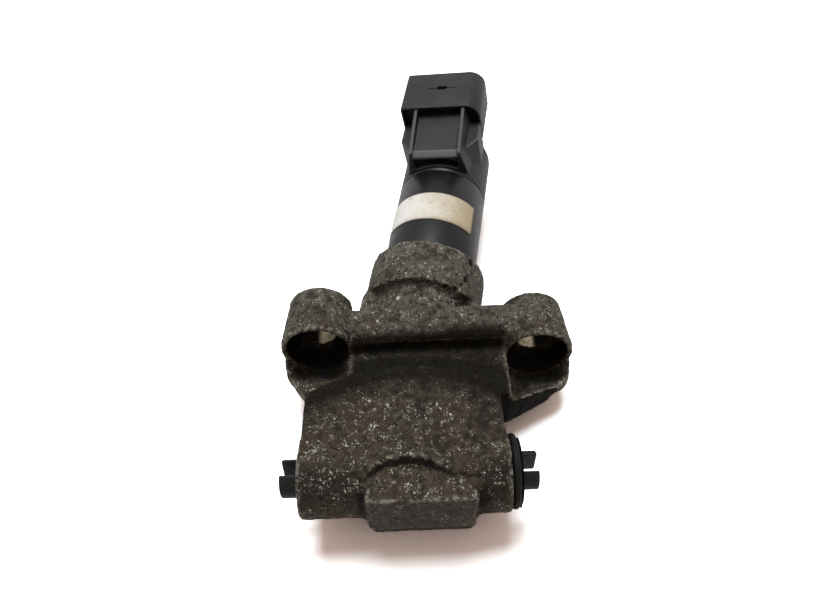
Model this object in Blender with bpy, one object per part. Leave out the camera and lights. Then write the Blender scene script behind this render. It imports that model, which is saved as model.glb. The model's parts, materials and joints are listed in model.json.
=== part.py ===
"""Electric drum parking brake expander: a motor turns a worm, the worm turns a spindle nut in a cast head,
and the nut drives two forked tappets apart. Metres, +Z up, resting on the flat underside of the casting.

The sizes are laid out in the casting's own frame: its origin lies midway between the mouths of the two bolt
holes, X runs along the tappets, Y along the bolts and away from the tappets, Z up.
"""

import math

import bmesh
import bpy
from mathutils import Matrix, Vector

# Clearances
FIT_GAP = 0.0003
SEAT_GAP = 0.0003

# Casting: head, ears, web and collar
HEAD_WALL = 0.0020
HEAD_LEFT_REACH = 0.0257
HEAD_RIGHT_REACH = 0.0368
SPREADER_X = -0.0143
SPREADER_Y = -0.0450
SPREADER_Z = 0.0
BODY_TOP = 0.0117
BODY_BACK = -0.0116
BODY_BACK_RADIUS = 0.0600
BODY_CROWN_X = -0.0070
BODY_EDGE_RADIUS = 0.0030
BODY_BOTTOM = -0.0150
BODY_SIDE_SET_IN = 0.0006
BODY_LEFT_SET_IN = 0.0003
VALLEY_FLOOR = 0.0010
VALLEY_FRONT = -0.0180
BLOCK_LEFT = -0.0200
BLOCK_RIGHT = 0.0120
BLOCK_FRONT = -0.0590
BLOCK_TOP = 0.0104
BLOCK_CHIN = -0.0055
BLOCK_FOOT_SET_BACK = 0.0086
UNDERSIDE = -0.0270
EAR_SPACING = 0.0760
EAR_ROLL = math.radians(-5.3)
EAR_WALL = 0.00211
EAR_TAPER = 0.00155
EAR_LENGTH = 0.0199
COUNTERBORE_RADIUS = 0.01064
COUNTERBORE_DEPTH = 0.0080
BOLT_HOLE_RADIUS = 0.0052
WEB_TOP = 0.0090
WEB_BOTTOM = -0.0165
WEB_FRONT = 0.0010
WEB_BACK = 0.0153
WEB_EDGE_RADIUS = 0.0040
GUSSET_FRONT = -0.0190
GUSSET_LEFT_FOOT = -0.0385
GUSSET_RIGHT_FOOT = 0.0258
GUSSET_STEP = 0.0030
GUSSET_SLOPE = 0.0110
GUSSET_RISE = 0.62
GUSSET_THICKNESS = 0.0025
CRADLE_WALL = 0.0004
CRADLE_RISE = 75
CRADLE_REACH = 5
CRADLE_RIGHT_FRONT = -0.0080
COLLAR_WALL = 0.00405
COLLAR_LENGTH = 0.0177
SHOULDER_STEP = 0.0010
SHOULDER_RISE = 25
SHOULDER_LENGTH = 0.0088
BOSS_RADIUS = 0.0178
BOSS_LENGTH = 0.0040
CASE_HALF_WIDTH = 0.0105
CASE_END_WALL = 0.0018
CASE_CHIN_SET_BACK = 0.0070
KEEL_HALF_WIDTH = 0.0140
WORM_CASE_WALL = 0.0024

# Gear: a worm tilted by its own lead angle drives a straight-cut wheel
MOTOR_YAW = math.radians(10.66)
MOTOR_PITCH = math.radians(6.06)
WHEEL_TEETH = 18
WHEEL_PITCH_RADIUS = 0.0086
WHEEL_WIDTH = 0.0090
WHEEL_RUNNING_GAP = 0.00055
WORM_STARTS = 2
WORM_FRONT = -0.0046
WORM_LENGTH = 0.0136
WORM_SIDES = 24
TOOTH_ADDENDUM = 0.00085
TOOTH_DEDENDUM = 0.00115
TOOTH_SHARE = 0.38
PRESSURE_ANGLE = math.radians(20)

# Spreader: nut, bearings, guide bushes, seals and tappets
WHEEL_RIM = 0.00035
NUT_WALL = 0.0026
NUT_SET_IN = 0.0002
WASHER_THICKNESS = 0.0008
NUT_BEARING_LENGTH = 0.0060
SPACER_LENGTH = 0.0075
GUIDE_FACE_GAP = 0.0008
CIRCLIP_THICKNESS = 0.0010
CIRCLIP_DEPTH = 0.0006
CIRCLIP_SET_IN = 0.0021
CIRCLIP_WIDTH = 0.0022
CIRCLIP_OPENING = math.radians(40)
TAPPET_RADIUS = 0.0057
STEM_CLEAR = 0.0010
TAPPET_LEFT_REACH = 0.0317
TAPPET_RIGHT_REACH = 0.0453
TAPPET_LEFT_GAP = 0.0028
TAPPET_RIGHT_GAP = 0.0045
FORK_SLOT_WIDTH = 0.0053
FORK_SLOT_DEPTH = 0.0062
FORK_CHAMFER = 0.0006
LEFT_FORK_TURN = math.radians(-13)
BOOT_RADIUS = 0.0112
BOOT_THICKNESS = 0.0020
BOOT_LIP_RADIUS = 0.0098
BOOT_LIP_REACH = 0.0017
WIPER_THICKNESS = 0.0012

# Motor: the can's front lies this far along the axis from the point nearest the spreader
CAN_START = 0.0715
COLLAR_LEAD = 0.0027
CAN_LENGTH = 0.0572
CAN_RADIUS = 0.01785
CAN_WALL = 0.0014
CAN_FRONT_WALL = 0.0018
SHAFT_RADIUS = 0.0025
WORM_BEARING_RADIUS = 0.0090
WORM_BEARING_LENGTH = 0.0060
WORM_BEARING_LEAD = 0.0195
COUPLING_RADIUS = 0.0055
COUPLING_LENGTH = 0.0090
COUPLING_LEAD = 0.0127
END_BUSH_RADIUS = 0.0039
END_BUSH_LENGTH = 0.0025
FRONT_BEARING_RADIUS = 0.0065
FRONT_BEARING_LENGTH = 0.0048
REAR_BUSH_RADIUS = 0.0050
REAR_BUSH_LENGTH = 0.0050
CAN_SEAL_SECTION = 0.0011
CAN_SEAL_SET_BACK = 0.0070
MAGNET_THICKNESS = 0.0036
MAGNET_ANGLE = math.radians(132)
MAGNET_SET_BACK = 0.0085
MAGNET_REAR_SPACE = 0.0137
AIR_GAP = 0.00085
CORE_SLOT_DEPTH = 0.0042
CORE_POLES = 7
CORE_FACE_SHARE = 0.80
CORE_NECK_SHARE = 0.72
CORE_SET_BACK = 0.0110
CORE_REAR_SPACE = 0.0187
WINDING_SET_IN = 0.0011
WINDING_LENGTH = 0.0054
COMMUTATOR_RADIUS = 0.0052
COMMUTATOR_LENGTH = 0.0100
BRUSH_SIDE = 0.0040
BRUSH_LENGTH = 0.0055
BRUSH_CARD_THICKNESS = 0.0020
BRUSH_CARD_SET_IN = 0.0041
LABEL_SET_BACK = 0.0285
LABEL_WIDTH = 0.0137
LABEL_THICKNESS = 0.0002
LABEL_FROM = math.radians(35)
LABEL_TO = math.radians(200)

# End cap and its connector, rolled about the motor axis
CAP_LENGTH = 0.0245
CAP_EDGE_RADIUS = 0.0040
CAP_SPIGOT_LENGTH = 0.0015
CAP_WALL = 0.00385
CAP_CAVITY_DEPTH = 0.0150
CAP_BOSS_RADIUS = 0.0075
CONNECTOR_ROLL = math.radians(8)
NECK_LENGTH = 0.0213
NECK_NEAR_RISE = 0.00535
NECK_FAR_RISE = 0.00775
NECK_HALF_WIDTH = 0.0105
NECK_FOOT_HALF_WIDTH = 0.0160
NECK_RIB_WIDTH = 0.0014
NECK_RIB_HEIGHT = 0.0011
NECK_RIB_FAR_HEIGHT = 0.0038
NECK_LIP = 0.0020
NECK_SHOULDER_DROP = 0.0093
NECK_SHOULDER_LOW = 0.0060
NECK_SHOULDER_FLAT = 0.0095
NECK_SHOULDER_REACH = 0.0170
NECK_RECESS_DEPTH = 0.0090
SHROUD_HEIGHT_ABOVE_NECK = 0.0044
SHROUD_LENGTH = 0.0222
SHROUD_HALF_WIDTH = 0.0165
SHROUD_DEPTH = 0.0180
SHROUD_WALL = 0.0022
SHROUD_ROUND = 0.0065
SHROUD_CORNER = 0.0012
SOCKET_DEPTH = 0.0180
TERMINAL_WIDTH = 0.0028
TERMINAL_THICKNESS = 0.0008
TERMINAL_LENGTH = 0.0150
TERMINAL_SPACING = 0.0090
TERMINAL_ROOT = 0.0035

ROUND_SIDES = 36
BORE_SIDES = 28
SMALL_ROUND_SIDES = 16
CORE_FACE_STEPS = 3
MAGNET_STEPS = 14
LABEL_STEPS = 24
CORNER_STEPS = 3
EDGE_STEPS = 5
ARCH_STEPS = 24
FLANK_STEPS = 40
SHROUD_ROUND_STEPS = 8
SEAL_SIDES = 8

# Values that follow from those above
worm_pitch_radius = WORM_STARTS * WHEEL_PITCH_RADIUS / (WHEEL_TEETH * math.sin(MOTOR_YAW))
worm_lead = 2 * math.pi * worm_pitch_radius * math.tan(MOTOR_YAW)
worm_axial_pitch = worm_lead / WORM_STARTS
gear_pitch = worm_axial_pitch * math.cos(MOTOR_YAW)
gear_centres = WHEEL_PITCH_RADIUS + worm_pitch_radius
wheel_tip_radius = WHEEL_PITCH_RADIUS + TOOTH_ADDENDUM
head_bore_radius = wheel_tip_radius + WHEEL_RUNNING_GAP
head_radius = head_bore_radius + HEAD_WALL
worm_tip_radius = worm_pitch_radius + TOOTH_ADDENDUM
worm_bore_radius = worm_tip_radius + 2 * FIT_GAP
nut_radius = WHEEL_PITCH_RADIUS - TOOTH_DEDENDUM - WHEEL_RIM - FIT_GAP
nut_bore_radius = nut_radius - NUT_WALL
ear_near_radius = COUNTERBORE_RADIUS + EAR_WALL
ear_far_radius = ear_near_radius - EAR_TAPER
collar_step = CAN_START - COLLAR_LEAD
collar_radius = CAN_RADIUS + COLLAR_WALL
shoulder_radius = collar_radius + SHOULDER_STEP
worm_bearing_start = CAN_START - WORM_BEARING_LEAD
coupling_start = CAN_START - COUPLING_LEAD
magnet_start = CAN_START + MAGNET_SET_BACK
magnet_length = CAN_LENGTH - MAGNET_SET_BACK - MAGNET_REAR_SPACE
magnet_seat = CAN_RADIUS - CAN_WALL - FIT_GAP
core_radius = magnet_seat - MAGNET_THICKNESS - AIR_GAP
core_slot_radius = core_radius - CORE_SLOT_DEPTH
core_start = CAN_START + CORE_SET_BACK
core_end = core_start + CAN_LENGTH - CORE_SET_BACK - CORE_REAR_SPACE
winding_radius = core_radius - WINDING_SET_IN
label_start = CAN_START + LABEL_SET_BACK
can_end = CAN_START + CAN_LENGTH
brush_card_start = can_end - BRUSH_CARD_SET_IN
cap_cavity_radius = CAN_RADIUS - CAP_WALL
neck_near_height = CAN_RADIUS + NECK_NEAR_RISE
neck_far_height = CAN_RADIUS + NECK_FAR_RISE
cap_start = can_end + SEAT_GAP
cap_end = cap_start + CAP_LENGTH
head_left = SPREADER_X - HEAD_LEFT_REACH
head_right = SPREADER_X + HEAD_RIGHT_REACH

motor_axis = Vector((
    math.sin(MOTOR_YAW) * math.cos(MOTOR_PITCH),
    math.cos(MOTOR_YAW) * math.cos(MOTOR_PITCH),
    math.sin(MOTOR_PITCH),
))
motor_right = Vector((math.cos(MOTOR_YAW), -math.sin(MOTOR_YAW), 0))
motor_up = motor_right.cross(motor_axis)
# The common perpendicular runs from the worm up to the wheel.
mesh_line = Vector((1, 0, 0)).cross(motor_axis).normalized()
spreader_centre = Vector((SPREADER_X, SPREADER_Y, SPREADER_Z))
worm_centre = spreader_centre - gear_centres * mesh_line
mesh_angle_on_worm = math.atan2(mesh_line.dot(motor_up), mesh_line.dot(motor_right))
mesh_angle_on_wheel = math.atan2(-mesh_line.z, -mesh_line.y)

# Turns a drawing in (across, up, along) into (X along, Y across, Z up), for shapes drawn from the side.
DRAWN_FROM_SIDE = Matrix(((0, 0, 1, 0), (1, 0, 0, 0), (0, 1, 0, 0), (0, 0, 0, 1)))
# Turns a drawing in (right, up, along) into (X right, Y along, Z up), for shapes drawn from the front.
DRAWN_FROM_FRONT = Matrix(((1, 0, 0, 0), (0, 0, 1, 0), (0, 1, 0, 0), (0, 0, 0, 1)))


def clear_scene():
    for old in list(bpy.data.objects):
        bpy.data.objects.remove(old, do_unlink=True)


def finish(name, colour, roughness, metallic):
    material = bpy.data.materials.new(name)
    material.use_nodes = True
    shader = material.node_tree.nodes["Principled BSDF"]
    shader.inputs["Base Color"].default_value = (*colour, 1)
    shader.inputs["Roughness"].default_value = roughness
    shader.inputs["Metallic"].default_value = metallic
    return material


def add_empty(name, parent=None, matrix=None):
    empty = bpy.data.objects.new(name, None)
    bpy.context.scene.collection.objects.link(empty)
    empty.parent = parent
    if matrix is not None:
        empty.matrix_local = matrix
    return empty


def add_piece(name, bm, parent, material):
    """Closes the bmesh into a named object with smooth round faces and sharp edges."""
    bmesh.ops.remove_doubles(bm, verts=bm.verts, dist=1e-7)
    bmesh.ops.recalc_face_normals(bm, faces=bm.faces)
    mesh = bpy.data.meshes.new(name)
    bm.to_mesh(mesh)
    bm.free()
    mesh.shade_smooth()
    mesh.set_sharp_from_angle(angle=math.radians(35))
    piece = bpy.data.objects.new(name, mesh)
    bpy.context.scene.collection.objects.link(piece)
    piece.parent = parent
    if material is not None:
        mesh.materials.append(material)
    return piece


def combine(piece, tools, operation):
    """Adds one Boolean for all the tools to the piece and keeps them as hidden helpers."""
    group = bpy.data.collections.new(piece.name + "_" + operation.lower())
    for tool in tools:
        tool.hide_render = True
        tool.display_type = "WIRE"
        group.objects.link(tool)
    boolean = piece.modifiers.new(group.name, "BOOLEAN")
    boolean.operation = operation
    boolean.operand_type = "COLLECTION"
    boolean.collection = group
    boolean.solver = "EXACT"


def arc(centre, radius, start, end, steps):
    """Points along an arc, angles in degrees."""
    points = []
    for step in range(steps + 1):
        angle = math.radians(start + (end - start) * step / steps)
        points.append((centre[0] + radius * math.cos(angle), centre[1] + radius * math.sin(angle)))
    return points


def turned(name, profile, parent, material=None, along="Y", sides=ROUND_SIDES, centre=(0, 0, 0)):
    """A solid of revolution. The profile lists (radius, station), closed unless it ends on the axis."""
    axis = Vector((1, 0, 0)) if along == "X" else Vector((0, 1, 0))
    bm = bmesh.new()
    verts = []
    for radius, station in profile:
        place = (station, radius, 0) if along == "X" else (radius, station, 0)
        verts.append(bm.verts.new(place))
    edges = [bm.edges.new(pair) for pair in zip(verts, verts[1:])]
    if profile[0][0] > 0 and profile[-1][0] > 0:
        edges.append(bm.edges.new((verts[-1], verts[0])))
    bmesh.ops.spin(bm, geom=verts + edges, cent=(0, 0, 0), axis=axis, angle=2 * math.pi, steps=sides,
                   use_merge=True)
    bmesh.ops.translate(bm, verts=bm.verts, vec=centre)
    return add_piece(name, bm, parent, material)


def tube(name, inner, outer, low, high, parent, material=None, along="Y", sides=ROUND_SIDES):
    profile = [(inner, low), (inner, high), (outer, high), (outer, low)]
    return turned(name, profile, parent, material, along, sides)


def rod(name, radius, low, high, parent, material=None, along="Y", sides=ROUND_SIDES, centre=(0, 0, 0)):
    profile = [(0, low), (radius, low), (radius, high), (0, high)]
    return turned(name, profile, parent, material, along, sides, centre)


def prism(name, outline, low, high, parent, material=None, drawing=Matrix()):
    """An outline drawn flat and pushed along its third axis from low to high."""
    bm = bmesh.new()
    face = bm.faces.new([bm.verts.new((across, up, low)) for across, up in outline])
    pushed = bmesh.ops.extrude_face_region(bm, geom=[face])
    moved = [item for item in pushed["geom"] if isinstance(item, bmesh.types.BMVert)]
    bmesh.ops.translate(bm, verts=moved, vec=(0, 0, high - low))
    bmesh.ops.transform(bm, matrix=drawing, verts=bm.verts)
    return add_piece(name, bm, parent, material)


def crowned(name, outline, low, high, edge, parent):
    """An upright prism with its upper edge rounded off."""
    bm = bmesh.new()
    face = bm.faces.new([bm.verts.new((across, up, low)) for across, up in outline])
    pushed = bmesh.ops.extrude_face_region(bm, geom=[face])
    top = next(item for item in pushed["geom"] if isinstance(item, bmesh.types.BMFace))
    bmesh.ops.translate(bm, verts=top.verts, vec=(0, 0, high - edge - low))
    bmesh.ops.recalc_face_normals(bm, faces=bm.faces)
    for step in range(EDGE_STEPS):
        before = math.pi / 2 * step / EDGE_STEPS
        after = math.pi / 2 * (step + 1) / EDGE_STEPS
        bmesh.ops.inset_region(bm, faces=[top], thickness=edge * (math.cos(before) - math.cos(after)),
                               depth=edge * (math.sin(after) - math.sin(before)), use_even_offset=True)
    return add_piece(name, bm, parent, None)


def ramp(name, outline, low, high, rise, parent):
    """An upright prism whose top climbs towards the front from its height at Y 0."""
    bm = bmesh.new()
    face = bm.faces.new([bm.verts.new((across, up, low)) for across, up in outline])
    pushed = bmesh.ops.extrude_face_region(bm, geom=[face])
    for item in pushed["geom"]:
        if isinstance(item, bmesh.types.BMVert):
            item.co.z = high - rise * item.co.y
    return add_piece(name, bm, parent, None)


def block(name, low, high, parent, material=None):
    outline = [(low[0], low[1]), (high[0], low[1]), (high[0], high[1]), (low[0], high[1])]
    return prism(name, outline, low[2], high[2], parent, material)


def bent_plate(name, inner, outer, start, end, low, high, parent, material, steps):
    """Part of a tube about the motor axis, angles in radians from the right towards the top."""
    bm = bmesh.new()
    corners = [(inner, low), (inner, high), (outer, high), (outer, low)]
    verts = [bm.verts.new((radius, station, 0)) for radius, station in corners]
    edges = [bm.edges.new((verts[i - 1], verts[i])) for i in range(4)]
    bmesh.ops.rotate(bm, verts=verts, cent=(0, 0, 0), matrix=Matrix.Rotation(-start, 3, "Y"))
    bmesh.ops.spin(bm, geom=verts + edges, cent=(0, 0, 0), axis=(0, -1, 0), angle=end - start, steps=steps)
    bmesh.ops.holes_fill(bm, edges=[edge for edge in bm.edges if edge.is_boundary], sides=4)
    return add_piece(name, bm, parent, material)


def rounded_box_outline(left, right, bottom, top, right_top, corner):
    """A box outline with one large round at its upper right and small rounds elsewhere."""
    outline = arc((right - right_top, top - right_top), right_top, 0, 90, SHROUD_ROUND_STEPS)
    outline += arc((left + corner, top - corner), corner, 90, 180, CORNER_STEPS)
    outline += arc((left + corner, bottom + corner), corner, 180, 270, CORNER_STEPS)
    outline += arc((right - corner, bottom + corner), corner, 270, 360, CORNER_STEPS)
    return outline


def ear_place(side):
    half = side * EAR_SPACING / 2
    return Vector((half * math.cos(EAR_ROLL), 0, half * math.sin(EAR_ROLL)))


def make_housing(frame, motor, material):
    """The casting: a barrel for the tappets, a block over the worm, bolt ears on a web, a motor collar."""
    housing = rod("housing", head_radius, head_left, head_right, frame, material, "X",
                  centre=(0, SPREADER_Y, SPREADER_Z))
    side_left = head_left + BODY_LEFT_SET_IN
    side_right = head_right - BODY_SIDE_SET_IN
    body_front = SPREADER_Y - BODY_EDGE_RADIUS
    arch_start = math.degrees(math.acos((side_right - BODY_CROWN_X) / BODY_BACK_RADIUS))
    arch_end = math.degrees(math.acos((side_left - BODY_CROWN_X) / BODY_BACK_RADIUS))
    arch_centre = (BODY_CROWN_X, BODY_BACK - BODY_BACK_RADIUS)
    body = [(side_left, body_front), (side_right, body_front)]
    body += arc(arch_centre, BODY_BACK_RADIUS, arch_start, arch_end, ARCH_STEPS)
    valley_back = WEB_BACK - WEB_EDGE_RADIUS
    valley_bottom = WEB_BOTTOM + FIT_GAP
    valley_top = VALLEY_FLOOR - FIT_GAP
    valley = [(VALLEY_FRONT, valley_bottom), (valley_back, valley_bottom), (valley_back, valley_top),
              (VALLEY_FRONT, valley_top)]
    chin_foot = BLOCK_FRONT + BLOCK_FOOT_SET_BACK
    nose_back = SPREADER_Y + head_radius / 2
    below = UNDERSIDE - head_radius / 4
    nose = [
        (nose_back, 0), (nose_back - head_radius, BLOCK_TOP), (BLOCK_FRONT + BODY_SIDE_SET_IN, BLOCK_TOP),
        (BLOCK_FRONT, BLOCK_CHIN), (chin_foot, below), (nose_back, below),
    ]
    web = arc((WEB_FRONT + WEB_EDGE_RADIUS, WEB_TOP - WEB_EDGE_RADIUS), WEB_EDGE_RADIUS, 180, 90, EDGE_STEPS)
    web += arc((WEB_BACK - WEB_EDGE_RADIUS, WEB_TOP - WEB_EDGE_RADIUS), WEB_EDGE_RADIUS, 90, 0, EDGE_STEPS)
    web += [(WEB_BACK, WEB_BOTTOM), (WEB_FRONT, WEB_BOTTOM)]
    ear_x = ear_place(1).x
    web_half = ear_x - ear_far_radius / 3
    valley_half = ear_x - COUNTERBORE_RADIUS - FIT_GAP
    ear_edge = ear_x + ear_far_radius
    right_gusset = [
        (0, GUSSET_FRONT), (GUSSET_RIGHT_FOOT, GUSSET_FRONT), (ear_x + GUSSET_STEP, -GUSSET_SLOPE),
        (ear_edge, -GUSSET_STEP), (ear_edge, WEB_EDGE_RADIUS), (0, WEB_EDGE_RADIUS),
    ]
    left_gusset = [
        (0, GUSSET_FRONT), (0, WEB_EDGE_RADIUS), (-ear_edge, WEB_EDGE_RADIUS), (-ear_edge, -GUSSET_STEP),
        (-ear_x - GUSSET_STEP, -GUSSET_SLOPE), (GUSSET_LEFT_FOOT, GUSSET_FRONT),
    ]
    gusset_drop = (COUNTERBORE_RADIUS + ear_near_radius) / 2
    right_top = ear_place(1).z - gusset_drop
    right_low = right_top - GUSSET_THICKNESS
    left_top = ear_place(-1).z - gusset_drop
    left_low = left_top - GUSSET_THICKNESS
    adds = [
        crowned("body_shape", body, BODY_BOTTOM, BODY_TOP, BODY_EDGE_RADIUS, frame),
        prism("valley_shape", valley, -valley_half, valley_half, frame, drawing=DRAWN_FROM_SIDE),
        prism("nose_shape", nose, BLOCK_LEFT, BLOCK_RIGHT, frame, drawing=DRAWN_FROM_SIDE),
        prism("web_shape", web, -web_half, web_half, frame, drawing=DRAWN_FROM_SIDE),
        ramp("right_gusset_shape", right_gusset, right_low, right_top, GUSSET_RISE, frame),
        ramp("left_gusset_shape", left_gusset, left_low, left_top, GUSSET_RISE, frame),
    ]
    left_front = VALLEY_FRONT + CRADLE_WALL
    cradle_back = WEB_FRONT + CRADLE_WALL
    fronts = ((-1, "left", left_front, left_low), (1, "right", CRADLE_RIGHT_FRONT, right_low))
    for side, word, front, foot in fronts:
        centre = ear_place(side)
        inner = side * (valley_half - CRADLE_WALL)
        low = foot + CRADLE_WALL
        turns = (270 - side * -CRADLE_REACH, 270 - side * CRADLE_RISE)
        cradle = arc((centre.x, centre.z), COUNTERBORE_RADIUS + CRADLE_WALL, *turns, EDGE_STEPS)
        cradle += [(inner, cradle[-1][1]), (inner, low), (cradle[0][0], low)]
        adds.append(prism(word + "_cradle_shape", cradle, front, cradle_back, frame,
                          drawing=DRAWN_FROM_FRONT))
    shoulder_start = collar_step - SHOULDER_LENGTH
    collar_end = collar_step + COLLAR_LENGTH
    collar = [
        (0, collar_step), (collar_radius, collar_step), (collar_radius, collar_end - FORK_CHAMFER),
        (collar_radius - FORK_CHAMFER, collar_end), (0, collar_end),
    ]
    adds.append(turned("collar_shape", collar, motor))
    flanks = arc((0, 0), shoulder_radius, 180 - SHOULDER_RISE, 360 + SHOULDER_RISE, FLANK_STEPS)
    adds.append(prism("shoulder_shape", flanks, shoulder_start, collar_step + SHOULDER_STEP, motor,
                      drawing=DRAWN_FROM_FRONT))
    case_front = WORM_FRONT - 2 * FIT_GAP - END_BUSH_LENGTH - CASE_END_WALL
    keel_start = collar_step - SHOULDER_LENGTH - CAN_RADIUS
    deep = 2 * worm_bore_radius + WORM_CASE_WALL
    case = [(case_front, WORM_CASE_WALL), (case_front, -FIT_GAP), (case_front + CASE_CHIN_SET_BACK, -deep),
            (keel_start + head_radius, -deep), (keel_start + head_radius, WORM_CASE_WALL)]
    adds.append(prism("case_shape", case, -CASE_HALF_WIDTH, CASE_HALF_WIDTH, motor, drawing=DRAWN_FROM_SIDE))
    adds.append(block("keel_shape", (-KEEL_HALF_WIDTH, keel_start, -shoulder_radius),
                      (KEEL_HALF_WIDTH, shoulder_start + WEB_EDGE_RADIUS, 0), motor))
    boss_start = shoulder_start - BOSS_LENGTH
    adds.append(rod("boss_shape", BOSS_RADIUS, boss_start, collar_step + 2 * SHOULDER_STEP, motor))
    for side, word in ((-1, "left"), (1, "right")):
        ear = [(0, 0), (ear_near_radius, 0), (ear_far_radius, EAR_LENGTH), (0, EAR_LENGTH)]
        adds.append(turned(word + "_ear_shape", ear, frame, centre=ear_place(side)))
    combine(housing, adds, "UNION")

    past = EAR_LENGTH / 4
    pocket_floor = CAN_START - SEAT_GAP
    seal_centre = collar_end - CAN_SEAL_SET_BACK
    groove_half = CAN_SEAL_SECTION + FIT_GAP
    can_hole = CAN_RADIUS + FIT_GAP
    pocket = [
        (0, pocket_floor), (can_hole, pocket_floor), (can_hole, seal_centre - groove_half),
        (CAN_RADIUS + 2 * groove_half, seal_centre - groove_half),
        (CAN_RADIUS + 2 * groove_half, seal_centre + groove_half),
        (can_hole, seal_centre + groove_half), (can_hole, collar_end + past), (0, collar_end + past),
    ]
    bush_seat = WORM_FRONT - FIT_GAP
    bush_floor = bush_seat - END_BUSH_LENGTH - FIT_GAP
    bush_hole = END_BUSH_RADIUS + FIT_GAP
    bearing_hole = WORM_BEARING_RADIUS + FIT_GAP
    bearing_floor = worm_bearing_start - SEAT_GAP
    shaft_way = [
        (0, bush_floor), (bush_hole, bush_floor), (bush_hole, bush_seat), (worm_bore_radius, bush_seat),
        (worm_bore_radius, bearing_floor), (bearing_hole, bearing_floor),
        (bearing_hole, pocket_floor + past), (0, pocket_floor + past),
    ]
    groove_depth = head_bore_radius + CIRCLIP_DEPTH + FIT_GAP
    left_groove = circlip_station(-1)
    right_groove = circlip_station(1)
    half_groove = CIRCLIP_THICKNESS / 2 + FIT_GAP
    bore = [(0, -HEAD_LEFT_REACH - past), (head_bore_radius, -HEAD_LEFT_REACH - past)]
    for station in (left_groove, right_groove):
        bore += [(head_bore_radius, station - half_groove), (groove_depth, station - half_groove),
                 (groove_depth, station + half_groove), (head_bore_radius, station + half_groove)]
    bore += [(head_bore_radius, HEAD_RIGHT_REACH + past), (0, HEAD_RIGHT_REACH + past)]
    wide = EAR_SPACING
    cuts = [
        turned("head_bore_cut", bore, frame, along="X", sides=BORE_SIDES, centre=spreader_centre),
        turned("shaft_cut", shaft_way, motor, sides=BORE_SIDES),
        turned("pocket_cut", pocket, motor, sides=BORE_SIDES),
        block("underside_cut", (-wide, -wide, UNDERSIDE - wide), (wide, wide, UNDERSIDE), frame),
    ]
    for side, word in ((-1, "left"), (1, "right")):
        hole = [
            (0, -FIT_GAP), (COUNTERBORE_RADIUS, -FIT_GAP), (COUNTERBORE_RADIUS, COUNTERBORE_DEPTH),
            (BOLT_HOLE_RADIUS, COUNTERBORE_DEPTH), (BOLT_HOLE_RADIUS, EAR_LENGTH + past),
            (0, EAR_LENGTH + past),
        ]
        cuts.append(turned(word + "_bolt_cut", hole, frame, sides=BORE_SIDES, centre=ear_place(side)))
    combine(housing, cuts, "DIFFERENCE")


def circlip_station(side):
    reach = HEAD_RIGHT_REACH if side > 0 else HEAD_LEFT_REACH
    return side * (reach - CIRCLIP_SET_IN - CIRCLIP_THICKNESS / 2)


def gear_outline(tip, root):
    """Straight-flanked wheel teeth, with the middle of a gap where the wheel meets the worm."""
    step = 2 * math.pi / WHEEL_TEETH
    lean = math.tan(PRESSURE_ANGLE)
    half_pitch_share = TOOTH_SHARE / 2
    tip_half = half_pitch_share * step - lean * TOOTH_ADDENDUM / WHEEL_PITCH_RADIUS
    root_half = half_pitch_share * step + lean * TOOTH_DEDENDUM / WHEEL_PITCH_RADIUS
    outline = []
    for tooth in range(WHEEL_TEETH):
        middle = mesh_angle_on_wheel + (tooth + 0.5) * step
        for radius, angle in ((root, -root_half), (tip, -tip_half), (tip, tip_half), (root, root_half)):
            outline.append((radius * math.cos(middle + angle), radius * math.sin(middle + angle)))
    return outline


def make_worm(parent, material):
    """A right-handed thread swept as strips along the helix, trimmed square and bored for the shaft."""
    lean = math.tan(PRESSURE_ANGLE) / worm_axial_pitch
    crest = TOOTH_SHARE / 2 - lean * TOOTH_ADDENDUM
    foot = TOOTH_SHARE / 2 + lean * TOOTH_DEDENDUM
    root_radius = worm_pitch_radius - TOOTH_DEDENDUM
    phases = ((-crest, worm_tip_radius), (crest, worm_tip_radius), (foot, root_radius),
              (1 - foot, root_radius))
    first = math.floor(WORM_FRONT / worm_axial_pitch) - WORM_STARTS
    last = math.ceil((WORM_FRONT + WORM_LENGTH) / worm_axial_pitch) + 2 * WORM_STARTS
    bm = bmesh.new()
    strips = []
    for side in range(WORM_SIDES):
        share = side / WORM_SIDES
        angle = mesh_angle_on_worm + 2 * math.pi * share
        strip = []
        for turn in range(first, last):
            for phase, radius in phases:
                station = (turn + phase) * worm_axial_pitch - worm_lead * share
                strip.append(bm.verts.new((radius * math.cos(angle), station, radius * math.sin(angle))))
        strips.append(strip)
    shift = WORM_STARTS * len(phases)
    for side, strip in enumerate(strips):
        wraps = side + 1 == WORM_SIDES
        beside = strips[0] if wraps else strips[side + 1]
        back = shift if wraps else 0
        for index in range(back, len(strip) - 1):
            bm.faces.new((strip[index], strip[index + 1], beside[index + 1 - back], beside[index - back]))
    worm_back = WORM_FRONT + WORM_LENGTH
    for station, outward in ((WORM_FRONT, -1), (worm_back, 1)):
        geometry = bm.verts[:] + bm.edges[:] + bm.faces[:]
        bmesh.ops.bisect_plane(bm, geom=geometry, plane_co=(0, station, 0), plane_no=(0, outward, 0),
                               clear_outer=True)
    bmesh.ops.holes_fill(bm, edges=[edge for edge in bm.edges if edge.is_boundary])
    worm = add_piece("worm", bm, parent, material)
    bore = rod("worm_bore_cut", SHAFT_RADIUS + FIT_GAP, WORM_FRONT - WORM_LENGTH, 2 * worm_back, parent,
               sides=SMALL_ROUND_SIDES)
    combine(worm, [bore], "DIFFERENCE")


def nut_bearing_end(side):
    """How far the outer face of a nut bearing lies from the wheel's middle."""
    washer_end = WHEEL_WIDTH / 2 + FIT_GAP + WASHER_THICKNESS
    spacer = SPACER_LENGTH + SEAT_GAP if side > 0 else 0
    return washer_end + spacer + SEAT_GAP + NUT_BEARING_LENGTH


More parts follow.
